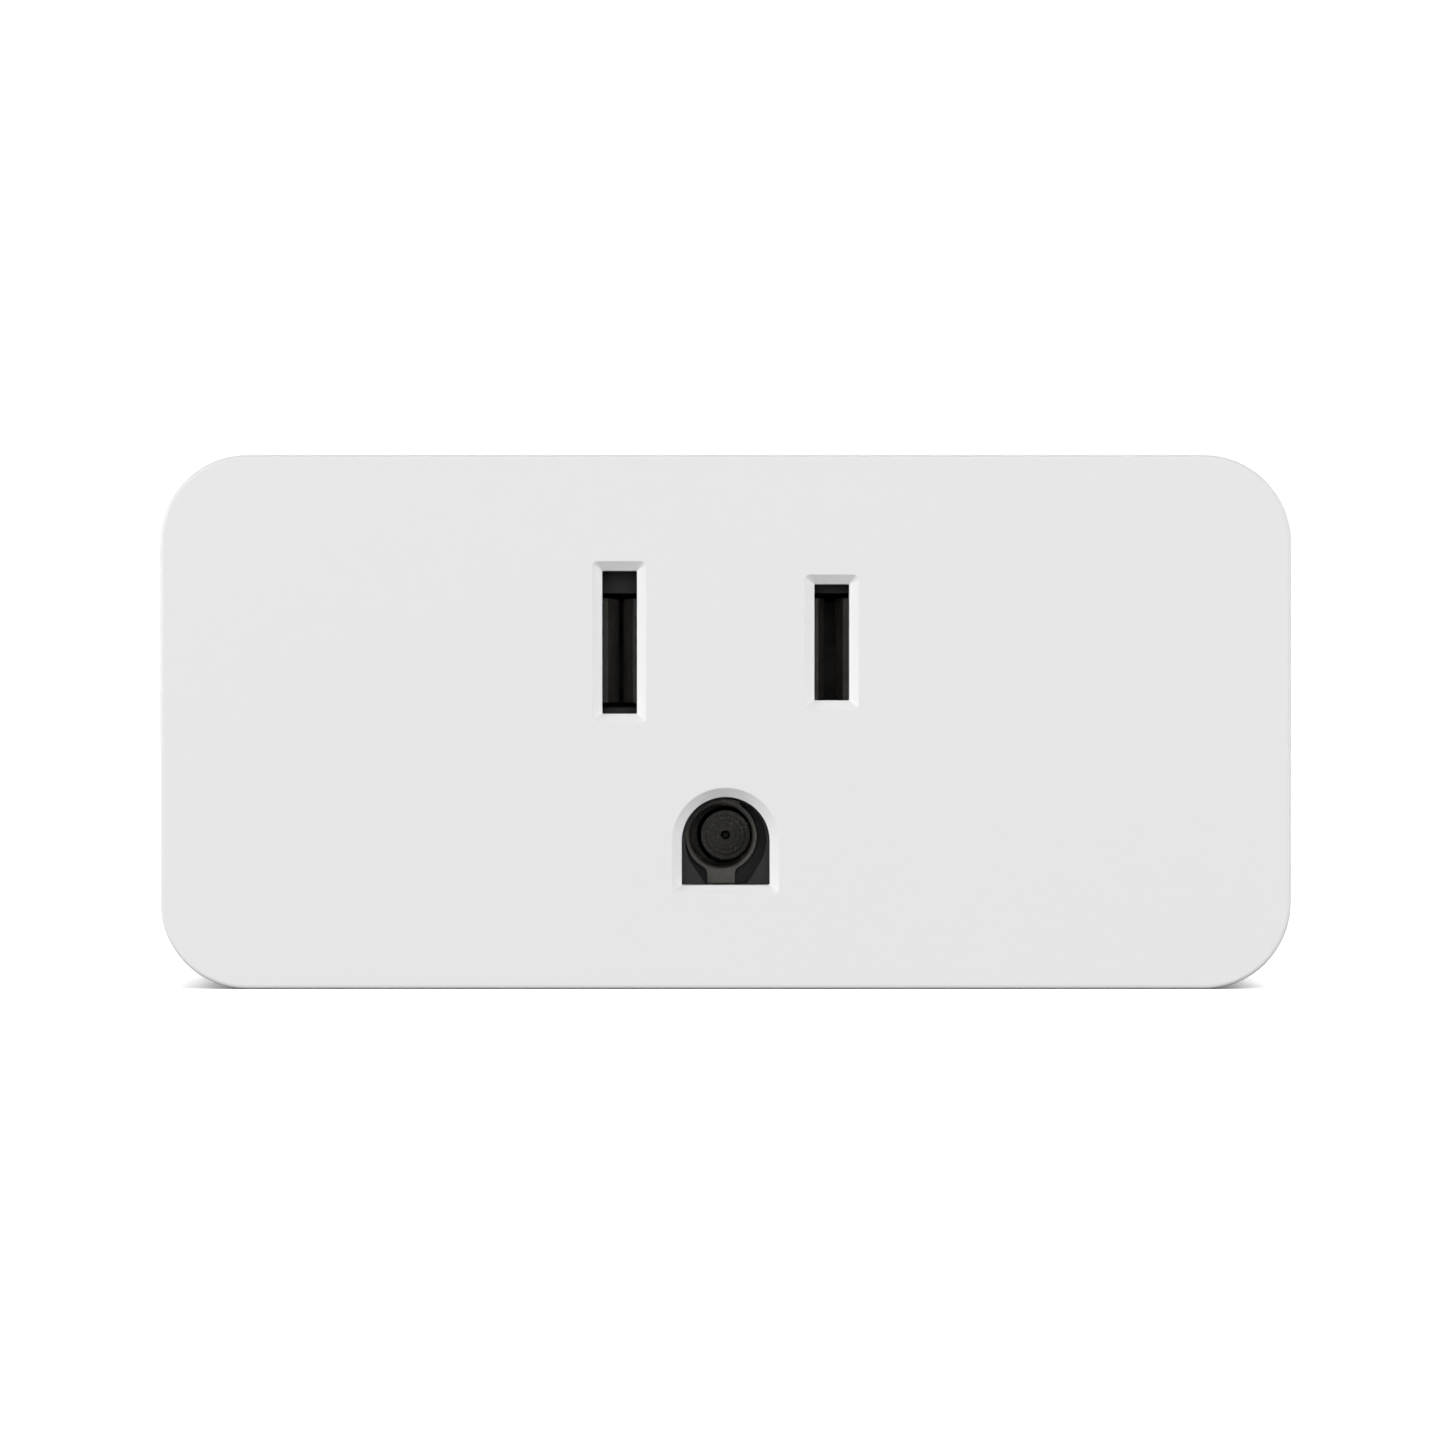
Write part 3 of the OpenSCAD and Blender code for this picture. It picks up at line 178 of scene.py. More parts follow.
class Skin:
    """A piece's surface under construction: points in millimetres and the faces between them."""

    def __init__(self):
        self.points, self.faces = np.empty((0, 3)), []

    def wrap(self, rings, leave=()):
        """Quads between neighbouring closed rings. leave names the (ring, column) quads that a window
        takes. Returns the points' numbers in the same grid."""
        ids = len(self.points) + np.arange(rings[..., 0].size).reshape(rings.shape[:-1])
        self.points = np.concatenate([self.points, rings.reshape(-1, 3)])
        beside = np.roll(ids, -1, axis=1)
        quads = np.stack([ids[:-1], beside[:-1], beside[1:], ids[1:]], axis=-1)
        kept = np.ones(quads.shape[:2], bool)
        for ring, column in leave:
            kept[ring, column] = False
        self.faces += quads[kept].tolist()
        return ids

    def fill(self, outline, *holes):
        """Triangles of the flat face inside the outline and outside the holes."""
        loops = [outline, *holes]
        corners = [[Vector(p) for p in self.points[loop].tolist()] for loop in loops]
        self.faces += np.concatenate(loops)[np.array(tessellate_polygon(corners))].tolist()

    def capped(self, rings):
        """Closed rings with a flat face over the first and the last."""
        ids = self.wrap(rings)
        self.fill(ids[0])
        self.fill(ids[-1])

    def tunnel(self, half_a, half_b, radii, line, centre, along="y", steps=8, spread=1):
        """The wall of an opening: a rounded rectangle that grows by the line's offset at each of its
        depths. The corners' radii grow by spread times the same offset."""
        radii = np.asarray(radii) + line[:, :1] * spread
        loops = corner_loops(half_a + line[:, 0], half_b + line[:, 0], radii, steps)
        return self.wrap(placed(loops, line[:, 1], centre, along))

    def slab(self, low, high, edge=0.1):
        """A bar along Y between two corners, its long edges and both ends rounded by a small arc."""
        low, high = np.array(low, float), np.array(high, float)
        middle, half = (low + high) / 2, (high - low) / 2
        line = rounded_line(
            [(2 * edge, low[1]), (0, low[1]), (0, high[1]), (2 * edge, high[1])], [edge, edge], 2, edge / 5)
        radii = np.maximum(2.4 * edge - line[:, :1], edge / 4)
        loops = corner_loops(half[0] - line[:, 0], half[2] - line[:, 0], radii, 2)
        self.capped(placed(loops, line[:, 1], (middle[0], middle[2])))

    def carried(self, path, out, up, half_a, half_b):
        """A bar carried along a path: at each point the rounded section lies along the direction out and
        the fixed direction up. A point is the path's point plus a times out plus b times up."""
        edge_r = 0.06
        loop = corner_loops(half_a, half_b, edge_r, 3)[0]
        self.capped(path[:, None] + loop[:, :1] * out[:, None] + loop[:, 1:] * np.array(up))

    def turned(self, line, centre, along="y", steps=48):
        """A line of (radius, depth) points turned about an axis: rings of radius times (cos, sin) of the
        angle."""
        angle = np.arange(steps) / steps * 2 * np.pi
        circle = np.stack([np.cos(angle), np.sin(angle)], axis=-1)
        return self.wrap(placed(line[:, :1, None] * circle, line[:, 1], centre, along))


def piece(name, skin, body, slot, node, crease=35):
    """Makes the skin an object in place of a CAD node: repeated points are merged, faces turned outwards,
    and edges that bend less than the crease angle smoothed."""
    mesh = bpy.data.meshes.new(name)
    mesh.from_pydata((skin.points * MM).tolist(), [], skin.faces)
    work = bmesh.new()
    work.from_mesh(mesh)
    bmesh.ops.remove_doubles(work, verts=work.verts, dist=1e-7)
    bmesh.ops.recalc_face_normals(work, faces=work.faces)
    work.to_mesh(mesh)
    work.free()
    mesh.shade_smooth()
    mesh.set_sharp_from_angle(angle=np.radians(crease))
    mesh.materials.append(finish(slot))
    made = bpy.data.objects.new(name, mesh)
    bpy.context.scene.collection.objects.link(made)
    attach(made, body)
    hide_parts(node)


# ---- Finishes ----

class Socket:
    """A shader value that Python arithmetic works on: each operation adds a Math node."""

    def __init__(self, tree, link):
        self.tree, self.link = tree, link

    def math(self, operation, first, second=0.0):
        return self.tree.node("ShaderNodeMath", {"operation": operation}, {0: first, 1: second})

    def __add__(self, other):
        return self.math("ADD", self, other)

    def __mul__(self, other):
        return self.math("MULTIPLY", self, other)

    def __sub__(self, other):
        return self.math("SUBTRACT", self, other)

    def __rsub__(self, other):
        return self.math("SUBTRACT", other, self)

    __radd__, __rmul__ = __add__, __mul__

    def fraction(self):
        return self.math("FRACT", self)

    def over(self, low, high, first=0, last=1):
        """Runs smoothly from first to last as the value goes from low to high."""
        return self.tree.node(
            "ShaderNodeMapRange", {"interpolation_type": "SMOOTHSTEP"},
            {"Value": self, "From Min": low, "From Max": high, "To Min": first, "To Max": last})


class Tree:
    """A node tree with one method that adds any node."""

    def __init__(self, tree):
        self.tree = tree

    def node(self, kind, settings=None, values=None, output=0):
        """Adds a node, applies its settings, then fills its sockets with values or links."""
        made = self.tree.nodes.new(kind)
        for name, value in (settings or {}).items():
            setattr(made, name, value)
        self.fill(made, values or {})
        return Socket(self, made.outputs[output])

    def fill(self, node, values):
        for name, value in values.items():
            if isinstance(value, Socket):
                self.tree.links.new(value.link, node.inputs[name])
            else:
                node.inputs[name].default_value = value

    def axis(self, vector, name):
        """One number of a vector: X, Y or Z."""
        return self.node("ShaderNodeSeparateXYZ", {}, {0: vector}, name)


class Finish(Tree):
    """A material: its main shader, and patterns that follow the piece's own coordinates."""

    wave_share = 3.1831  # Waves in one unit of a wave texture's coordinate

    def __init__(self, name, **constants):
        self.material = bpy.data.materials.new(name)
        self.material.use_nodes = True
        super().__init__(self.material.node_tree)
        self.shader = self.tree.nodes["Principled BSDF"]
        self.place = self.node("ShaderNodeTexCoord", output="Object")
        self.set(**constants)

    def set(self, **values):
        """Fills the main shader's sockets; an underscore stands for a space."""
        self.fill(self.shader, {name.replace("_", " "): value for name, value in values.items()})

    def surface(self, rgb, tone, tones, rough, height, depth_mm):
        """Colour from rgb times the first to rgb times the last of tones, by tone; roughness; relief
        depth_mm high."""
        colour = self.mix(tone, *(shade(rgb, factor) for factor in tones))
        relief = self.node("ShaderNodeBump", {}, {"Distance": depth_mm * MM, "Height": height}, "Normal")
        self.set(Base_Color=colour, Roughness=rough, Normal=relief)

    def mix(self, share, first, second):
        """A colour between two colours."""
        return self.node("ShaderNodeMix", {"data_type": "RGBA"}, {0: share, 6: first, 7: second}, 2)

    def pattern(self, kind, size_mm, settings, values, output, stretch=(1, 1, 1)):
        """A texture whose unit is size_mm on the piece, stretched along an axis by its factor."""
        scale = 1 / (size_mm * MM)
        place = self.node("ShaderNodeVectorMath", {"operation": "MULTIPLY"},
                          {0: self.place, 1: tuple(scale / s for s in stretch)})
        return self.node(kind, settings, {"Vector": place, "Scale": 1.0, **values}, output)

    def noise(self, size_mm, detail=3, stretch=(1, 1, 1)):
        return self.pattern("ShaderNodeTexNoise", size_mm, {}, {"Detail": detail}, "Fac", stretch)

    def cells(self, size_mm, feature="F1"):
        return self.pattern("ShaderNodeTexVoronoi", size_mm, {"feature": feature}, {}, "Distance")

    def waves(self, pitch_mm, direction):
        """Waves from 0 to 1, one in every pitch_mm along the direction."""
        size_mm = pitch_mm * self.wave_share
        return self.pattern("ShaderNodeTexWave", size_mm, {"bands_direction": direction}, {}, "Fac")


def shade(rgb, factor):
    """The colour times a factor, with full opacity."""
    return tuple(min(1.0, c * factor) for c in rgb) + (1.0,)


def moulded(name, rgb, rough, grain_mm=0.12, depth_mm=0.004, spread=0.03, **constants):
    """Moulded plastic: a fine eroded grain, slow tone drift from the flow, and a polish that varies."""
    f = Finish(name, **constants)
    speck = f.noise(grain_mm, 2)
    tone = f.noise(14, 2) * 0.7 + speck * 0.3
    polish = f.noise(5) * 0.12 + (rough - 0.06)
    f.surface(rgb, tone, (1 - spread, 1 + spread), polish, f.cells(grain_mm) * 0.4 + speck * 0.6, depth_mm)
    return f


def rolled(name, rgb, rough, stretch=(1, 14, 1), line_mm=0.06, depth_mm=0.002, tones=(1, 0.88), metal=1.0):
    """Rolled or drawn metal: fine lines along one axis, and a colour that runs in patches between rgb times
    each of tones: tarnish, and where the tones are low throughout, painted shade as well. A dull plating is
    less than all metal."""
    f = Finish(name, Metallic=metal)
    lines = f.noise(line_mm, 4, stretch)
    patch = f.noise(2.4, 4)
    polish = lines * 0.16 + patch * 0.1 + (rough - 0.12)
    f.surface(rgb, patch.over(0.35, 0.75), tones, polish, lines, depth_mm)
    return f


def circuit_board(name, rgb):
    """Solder resist over copper tracks on woven glass: the tracks follow the borders between cells."""
    f = Finish(name, Coat_Weight=0.25)
    track = f.cells(2.6, "DISTANCE_TO_EDGE").over(0.06, 0.1, 1, 0)
    weave = f.waves(0.35, "DIAGONAL")
    polish = f.noise(3, 2) * 0.1 + 0.32
    f.surface(rgb, track * 0.6 + weave * 0.08, (0.85, 1.7), polish, track + weave * 0.15, 0.03)
    return f


def wound(name, rgb):
    """Enamelled wire: one varnished turn every fifth of a millimetre along Z, its colour darker in the
    grooves and lighter over the crests as painted shade and highlight.
    """
    f = Finish(name, Metallic=0.85, Coat_Weight=0.6)
    turns = f.waves(0.2, "Z")
    # The colour follows the turns: darker in the grooves between them and lighter over their crests, a
    # painted shade and highlight beside the real bump.
    f.surface(rgb, turns * 0.8 + f.noise(1.5) * 0.2, (0.55, 1.15), 0.42 - turns * 0.14, turns, 0.06)
    return f


def sleeved(name, rgb):
    """Shrunk film: glossy, with a slow drift of tone and the fine creases it shrank into."""
    f = Finish(name, Coat_Weight=0.3)
    crease = f.noise(0.5, 3, (1, 6, 1))
    f.surface(rgb, f.noise(3).over(0.3, 0.8), (0.8, 1.5), crease * 0.1 + 0.22, crease, 0.01)
    return f


def taped(name, rgb):
    """Polyester tape: turns that overlap, with a thin edge line every few millimetres of depth."""
    f = Finish(name, Coat_Weight=0.4)
    laps_in_a_metre = 450
    lap = (f.axis(f.place, "Y") * laps_in_a_metre + f.noise(4, 2) * 0.4).fraction()
    edge = lap.over(0.0, 0.06, 1, 0)
    f.surface(rgb, edge, (1, 0.62), f.noise(2) * 0.1 + 0.25, edge, 0.05)
    return f


def sintered(name, rgb):
    """Pressed and fired ferrite: dull, speckled and slightly pitted."""
    f = Finish(name)
    speck = f.noise(0.18)
    pits = f.cells(0.5).over(0.05, 0.3)
    f.surface(rgb, speck, (0.75, 1.25), speck * 0.12 + 0.56, pits * 0.7 + speck * 0.3, 0.03)
    return f


def dipped(name, rgb, rough):
    """A dipped coat: uneven thickness that rounds and pools."""
    f = Finish(name, Coat_Weight=0.2)
    pool = f.noise(1.1)
    f.surface(rgb, pool, (0.88, 1.12), f.noise(3, 2) * 0.12 + (rough - 0.06), pool, 0.08)
    return f


# Each slot's way of making and what that way is told
no_line = (1, 1, 1)
FINISHES = {
    "casing_white": (moulded, dict(
        rough=0.46, grain_mm=0.11, depth_mm=0.0022, spread=0.006, Specular_IOR_Level=0.45)),
    "button_white": (moulded, dict(rough=0.38, grain_mm=0.09, depth_mm=0.0015, spread=0.006)),
    "lens_clear": (moulded, dict(
        rough=0.22, grain_mm=0.2, depth_mm=0.002, spread=0.02, Transmission_Weight=0.45, IOR=1.49,
        Coat_Weight=0.3)),
    "socket_black": (moulded, dict(rough=0.42, grain_mm=0.14, spread=0.18)),
    "header_black": (moulded, dict(rough=0.5, grain_mm=0.16, spread=0.15)),
    "chip_black": (moulded, dict(rough=0.55, grain_mm=0.1, depth_mm=0.005, spread=0.15)),
    "led_body": (moulded, dict(rough=0.4, grain_mm=0.3, spread=0.05)),
    "relay_case_black": (moulded, dict(rough=0.34, grain_mm=0.2, depth_mm=0.003, spread=0.15)),
    "bobbin_natural": (moulded, dict(rough=0.45, grain_mm=0.2, spread=0.04)),
    # Tones of 0.9 and 0.63 darken the contacts' metal all over: painted shade for their place deep inside the
    # socket, on top of the patches of tarnish.
    "spring_metal": (rolled, dict(rough=0.46, tones=(0.9, 0.63), metal=0.72)),
    "prong_metal": (rolled, dict(
        rough=0.27, stretch=(1, 22, 1), line_mm=0.05, depth_mm=0.0016, tones=(1, 0.9))),
    "copper": (rolled, dict(rough=0.34)),
    "pin_gold": (rolled, dict(rough=0.22)),
    "steel": (rolled, dict(rough=0.34, stretch=no_line, line_mm=0.25, depth_mm=0.004)),
    "iron": (rolled, dict(rough=0.42, stretch=(1, 1, 9))),
    "contact_silver": (rolled, dict(rough=0.3, stretch=no_line, line_mm=0.12)),
    "can_aluminium": (rolled, dict(rough=0.3, stretch=(1, 18, 1))),
    "board_green": (circuit_board, {}),
    "enamelled_wire": (wound, {}),
    "sleeve_dark": (sleeved, {}),
    "varistor_blue": (dipped, dict(rough=0.3)),
    "resistor_green": (dipped, dict(rough=0.55)),
    "ferrite": (sintered, {}),
    "tape_yellow": (taped, {}),
}
slot_rgb = {row["slot"]: tuple(row["base_color"]) for row in frame["record"]["materials"]}
made_finishes = {}


def finish(slot):
    """The material of one slot, made once in the record's own colour."""
    if slot not in made_finishes:
        make, told = FINISHES[slot]
        made_finishes[slot] = make(slot, slot_rgb[slot], **told).material
    return made_finishes[slot]


# ---- Pieces ----

def flared_line():
    """From the front plane down the 45 degree flare and through the face to its inside."""
    return rounded_line(
        [(flare + 0.35, front_y), (flare, front_y), (0, front_y + flare), (0, face_in_y), (0.25, face_in_y)],
        [0.09, 0.07, 0.06], 3, 0.02)


def ground_opening(skin, line):
    """The D-shaped opening: quarter circles of its half width above, nearly sharp corners below."""
    radii = (ground_half, ground_half, ground_corner_r, ground_corner_r)
    spread = (1, 1, mitre, mitre)
    return skin.tunnel(ground_half, ground_half, radii, line, (0, ground_z), steps=14, spread=spread)


def side_columns(columns):
    """The columns of the straight sides towards +X and towards -X in a loop of four equal corners."""
    return columns - 1, columns // 2 - 1


def window(ids, ring, column):
    """The outline of the quad that wrap() left open at that ring and column."""
    beside = (column + 1) % ids.shape[1]
    return np.array([ids[ring, column], ids[ring, beside], ids[ring + 1, beside], ids[ring + 1, column]])


def front_casing():
    """The shell: one closed skin whose line runs from the inside of the face over the seam's edge to the
    front face, with the flared openings, the button's opening and the light guide's hole cut through it,
    and posts, ribs and rims inside."""
    skin = Skin()
    turn_in = 0.9
    line = rounded_line(
        [(wall + turn_in, face_in_y), (wall, face_in_y), (wall, seam_y), (0, seam_y), (0, front_y),
         (turn_in, front_y)],
        [0.3, 0.1, seam_edge_r, front_edge_r], 5)
    loops = corner_loops(half_w - line[:, 0], half_h - line[:, 0], corner_r - line[:, :1], 16)
    # The two longest stretches of the line are the wall's inside and outside
    inner_run, outer_run = np.sort(np.argsort(np.linalg.norm(np.diff(line, axis=0), axis=1))[-2:])
    right, _ = side_columns(loops.shape[1])
    ids = skin.wrap(placed(loops, line[:, 1]), leave=[(inner_run, right), (outer_run, right)])
    slots = [
        skin.tunnel(slot_half_w, height, slot_corner_r, flared_line(), (x, blade_z), steps=5, spread=mitre)
        for x, height in ((-blade_x, neutral_half_h), (blade_x, live_half_h))
    ]
    openings = [*slots, ground_opening(skin, flared_line())]
    skin.fill(ids[-1], *(o[0] for o in openings))
    skin.fill(ids[0], *(o[-1] for o in openings))

    half_l, half_t = button_half_l + button_gap, button_half_h + button_gap
    through = rounded_line([(0.35, half_w), (0, half_w), (0, in_x), (0.25, in_x)], [0.13, 0.08], 4, 0.02)
    button = skin.tunnel(half_l, half_t, half_t, through, button_at, "x", 10)
    through = rounded_line([(0.2, half_w), (0, half_w), (0, in_x), (0.1, in_x)], [0.06, 0.04], 3, 0.01)
    hole_r = lens_r + lens_gap
    lens = skin.tunnel(hole_r, hole_r, hole_r, through, lens_at, "x", 8)
    skin.fill(window(ids, outer_run, right), button[0], lens[0])
    skin.fill(window(ids, inner_run, right), button[-1], lens[-1])
    shell_inside(skin)
    piece("front_casing", skin, "root", "casing_white", "front_shell")


def shell_inside(skin):
    """Screw posts with their ribs, the rim around the socket block and the guides of the control board, all
    standing a little way inside the plastic of the face and the walls."""
    sunk = 0.3
    root = face_in_y - sunk
    pilot_r, pilot_y = 1.3, post_end_y - 8
    rib, rib_start = 0.6, 1.6
    line = rounded_line(
        [(0, pilot_y), (pilot_r, pilot_y), (pilot_r, post_end_y), (post_r, post_end_y), (post_r, root),
         (0, root)],
        [0.1, 0.25, 0.2, 0], 3)
    for x, z in posts:
        skin.turned(line, (x, z))
        sx, sz = np.sign(x), np.sign(z)
        start_x, end_x = sorted((x + sx * rib_start, sx * (in_x + sunk)))
        start_z, end_z = sorted((z + sz * rib_start, sz * (half_h - wall + sunk)))
        skin.slab((start_x, root, z - rib), (end_x, post_end_y, z + rib))
        skin.slab((x - rib, root, start_z), (x + rib, post_end_y, end_z))

    rim, step = 0.8, 0.01
    low_x, high_x = block_low[0] - slip - rim, block_high[0] + slip + rim
    low_z, high_z = block_low[2] - slip - rim, block_high[2] + slip + rim
    top = face_in_y + 2
    for z in (low_z, high_z - rim):
        skin.slab((low_x, root, z), (high_x, top, z + rim))
    for x in (low_x, high_x - rim):
        skin.slab((x, root, low_z + sunk), (x + rim, top - step, high_z - sunk))

    board_low, board_high = box_mm("control_board")
    held, short = 0.8, 1
    for x in (board_low[0] - slip - rim, board_high[0] + slip):
        skin.slab((x, root, board_low[2] + short), (x + rim, board_low[1] + held, board_high[2] - short))


def back_casing():
    """The cover: a closed skin over its tongue, side wall, rounded wall edge and back face, with the
    prongs' openings and the sunk screw holes, and four posts."""
    skin = Skin()
    lip_out = wall + slip
    lip_in = lip_out + lip_t
    turn_in = 1.4
    line = rounded_line(
        [(lip_in + 0.04, back_in_y), (lip_in, back_in_y), (lip_in, lip_end_y), (lip_out, lip_end_y),
         (lip_out, cover_front_y), (0, cover_front_y), (0, 0), (turn_in, 0)],
        [0, 0.1, 0.25, 0.05, seam_edge_r, back_edge_r], 5)
    loops = corner_loops(half_w - line[:, 0], half_h - line[:, 0], corner_r - line[:, :1], 16)
    ids = skin.wrap(placed(loops, line[:, 1]))

    def drilled(half_a, half_b, radius, centre, edge):
        through = rounded_line([(2 * edge, 0), (0, 0), (0, back_in_y), (0.01, back_in_y)], [edge, 0], 4, 0.01)
        return skin.tunnel(half_a, half_b, radius, through, centre, steps=10)

    gap, blade_edge, sink_edge = 0.05, 0.08, 0.15
    openings = [
        drilled(blade_half_t + gap, blade_half_h + gap, 0.1, (s * blade_x, blade_z), blade_edge)
        for s in SIDES
    ]
    pin_hole_r, sink_r = pin_collar_r + gap, 2.2
    openings.append(drilled(pin_hole_r, pin_hole_r, pin_hole_r, (0, ground_z), blade_edge))
    openings += [drilled(sink_r, sink_r, sink_r, at, sink_edge) for at in posts]
    skin.fill(ids[-1], *(o[0] for o in openings))
    skin.fill(ids[0], *(o[-1] for o in openings))

    bore_r, shank_r, root_y, seat_y = sink_r + 0.04, 1.45, back_in_y + 0.4, -4.6
    line = rounded_line(
        [(bore_r, root_y), (bore_r, seat_y), (shank_r, seat_y), (shank_r, post_end_y), (post_r, post_end_y),
         (post_r, root_y), (bore_r, root_y)],
        [0.1, 0.1, 0.1, 0.15, 0], 3)
    for at in posts:
        skin.turned(line, at)
    piece("back_casing", skin, "root", "casing_white", "rear_cover")


def side_button():
    """The button: rings of a stadium carried over its flange and its rounded edge, then down into a shallow
    dish whose depth goes with the squared sine of the share of the way in."""
    skin = Skin()
    flange_in, flange_out, face_x = cap_low[0], cap_low[0] + 0.8, cap_high[0]
    rim, dish_depth, bottom_r = 0.45, 0.14, 0.06
    line = rounded_line(
        [(1.5 - button_flange, flange_in), (-button_flange, flange_in), (-button_flange, flange_out),
         (0, flange_out), (0, face_x), (rim, face_x)],
        [0.12, 0.12, 0.06, 0.22], 5, 0.03)
    share = np.linspace(0, 1, 12)[1:, None]
    inwards = rim + share * (button_half_h - bottom_r - rim)
    line = np.vstack([line, np.hstack([inwards, face_x - dish_depth * np.sin(share * np.pi / 2) ** 2])])
    radii = np.maximum(button_half_h - line[:, :1], 0.02)
    loops = corner_loops(button_half_l - line[:, 0], button_half_h - line[:, 0], radii, 10)
    skin.capped(placed(loops, line[:, 1], button_at, "x"))
    piece("side_button", skin, "button", "button_white", "button_cap")


def light_pipe():
    """The light guide: a rod with a collar inside the wall and a tip that is a little domed."""
    skin = Skin()
    start, tip = lens_low[0], lens_high[0]
    collar_r, collar_start, collar_end = lens_r + 0.55, in_x - 1, in_x - 0.02
    dome_r, dome_h = lens_r * 0.88, 0.05
    line = rounded_line(
        [(0, start), (lens_r, start), (lens_r, collar_start), (collar_r, collar_start),
         (collar_r, collar_end), (lens_r, collar_end), (lens_r, tip - dome_h), (dome_r, tip - dome_h)],
        [0.1, 0.05, 0.1, 0.08, 0.04, 0.05], 3, 0.01)
    angle = np.linspace(0, 1, 6)[1:] * np.pi / 2
    dome = np.stack([dome_r * np.cos(angle), tip - dome_h + dome_h * np.sin(angle)], axis=-1)
    skin.turned(np.vstack([line, dome]), lens_at, "x", 40)
    piece("light_pipe", skin, "root", "lens_clear", "status_lens")


def flat_prong(name, node, s):
    """A blade: rounded rectangles stacked along its length, thinner and narrower over the tip, with a round
    hole through both flat sides, and its shoulder and solder tab inside the casing."""
    skin = Skin()
    low, high = box_mm(node)
    length, middle = high[1], s * blade_x
    tip_r, bevel, bevel_t, edge_r = 1.6, 1.2, 0.45, 0.16
    hole_y, hole_r, around = 11.9, 1.6, 0.6
    start, before, after = back_in_y - 0.2, hole_y - hole_r - around, hole_y + hole_r + around
    over_tip = length - tip_r + tip_r * np.sin(np.linspace(0, 1, 10) * np.pi / 2)
    along = np.concatenate([[start, before, after], over_tip])
    tip = np.clip((along - (length - tip_r)) / tip_r, 0, 0.985)
    thin = np.clip((along - (length - bevel)) / bevel, 0, 1)
    loops = corner_loops(
        blade_half_t - bevel_t * thin, blade_half_h - tip_r * (1 - np.sqrt(1 - tip ** 2)), edge_r, 4)
    right, left = side_columns(loops.shape[1])
    ids = skin.wrap(placed(loops, along, (middle, blade_z)), leave=[(1, right), (1, left)])
    skin.fill(ids[0])
    skin.fill(ids[-1])
    out, back, lead = middle + blade_half_t, middle - blade_half_t, 0.22
    through = rounded_line([(lead, out), (0, out), (0, back), (lead, back)], [0.12, 0.12], 4, 0.01)
    hole = skin.tunnel(hole_r, hole_r, hole_r, through, (hole_y, blade_z), "x", 10)
    skin.fill(window(ids, 1, right), hole[0])
    skin.fill(window(ids, 1, left), hole[-1])
    tab_end, tab_half_t, tab_half_h = low[1] + 6.2, 0.5, 1.4
    skin.slab((back, tab_end, low[2]), (out, back_in_y, high[2]), 0.12)
    skin.slab((middle - tab_half_t, low[1], blade_z - tab_half_h),
              (middle + tab_half_t, tab_end + 0.2, blade_z + tab_half_h))
    piece(name, skin, "root", "prong_metal", node)


def round_prong():
    """The ground pin: a turned line over its flange, collar, straight length and elliptic dome, and the
    stud behind, whose rivet sinks by a bell curve at its centre and carries a cosine of shallow rings."""
    skin = Skin()
    pin_r, flange_r, flange_y = 2.39, 3.4, back_in_y - 1
    dome_y, dome_h = pin_high[1] - 1.7, 1.7
    stud_r, rivet_r, rivet_y, rivet_edge = 1.5, 1.8, pin_low[1], 0.34
    strap_y = rivet_y + 0.6
    dimple, dimple_r, ring_h, ring_pitch = 0.2, 0.15, 0.003, 0.29
    spun = np.linspace(0, rivet_r - rivet_edge - 0.01, 40)
    sunk = dimple * np.exp(-(spun / dimple_r) ** 2) + ring_h * (1 - np.cos(2 * np.pi * spun / ring_pitch))
    face = np.stack([spun, rivet_y + sunk], axis=-1)
    line = rounded_line(
        [(rivet_r - rivet_edge, rivet_y), (rivet_r, rivet_y), (rivet_r, strap_y), (stud_r, strap_y),
         (stud_r, flange_y), (flange_r, flange_y), (flange_r, back_in_y), (pin_collar_r, back_in_y),
         (pin_collar_r, 0), (pin_r, 0), (pin_r, dome_y)],
        [0.25, 0, 0.03, 0.03, 0.1, 0.1, 0.05, 0.08, 0.02], 3, 0.01)
    angle = np.linspace(0, np.pi / 2, 14)[1:]
    dome = np.stack([pin_r * np.cos(angle), dome_y + dome_h * np.sin(angle)], axis=-1)
    skin.turned(np.vstack([face, line, dome]), (0, ground_z), steps=72)
    piece("ground_prong", skin, "root", "prong_metal", "ground_pin")


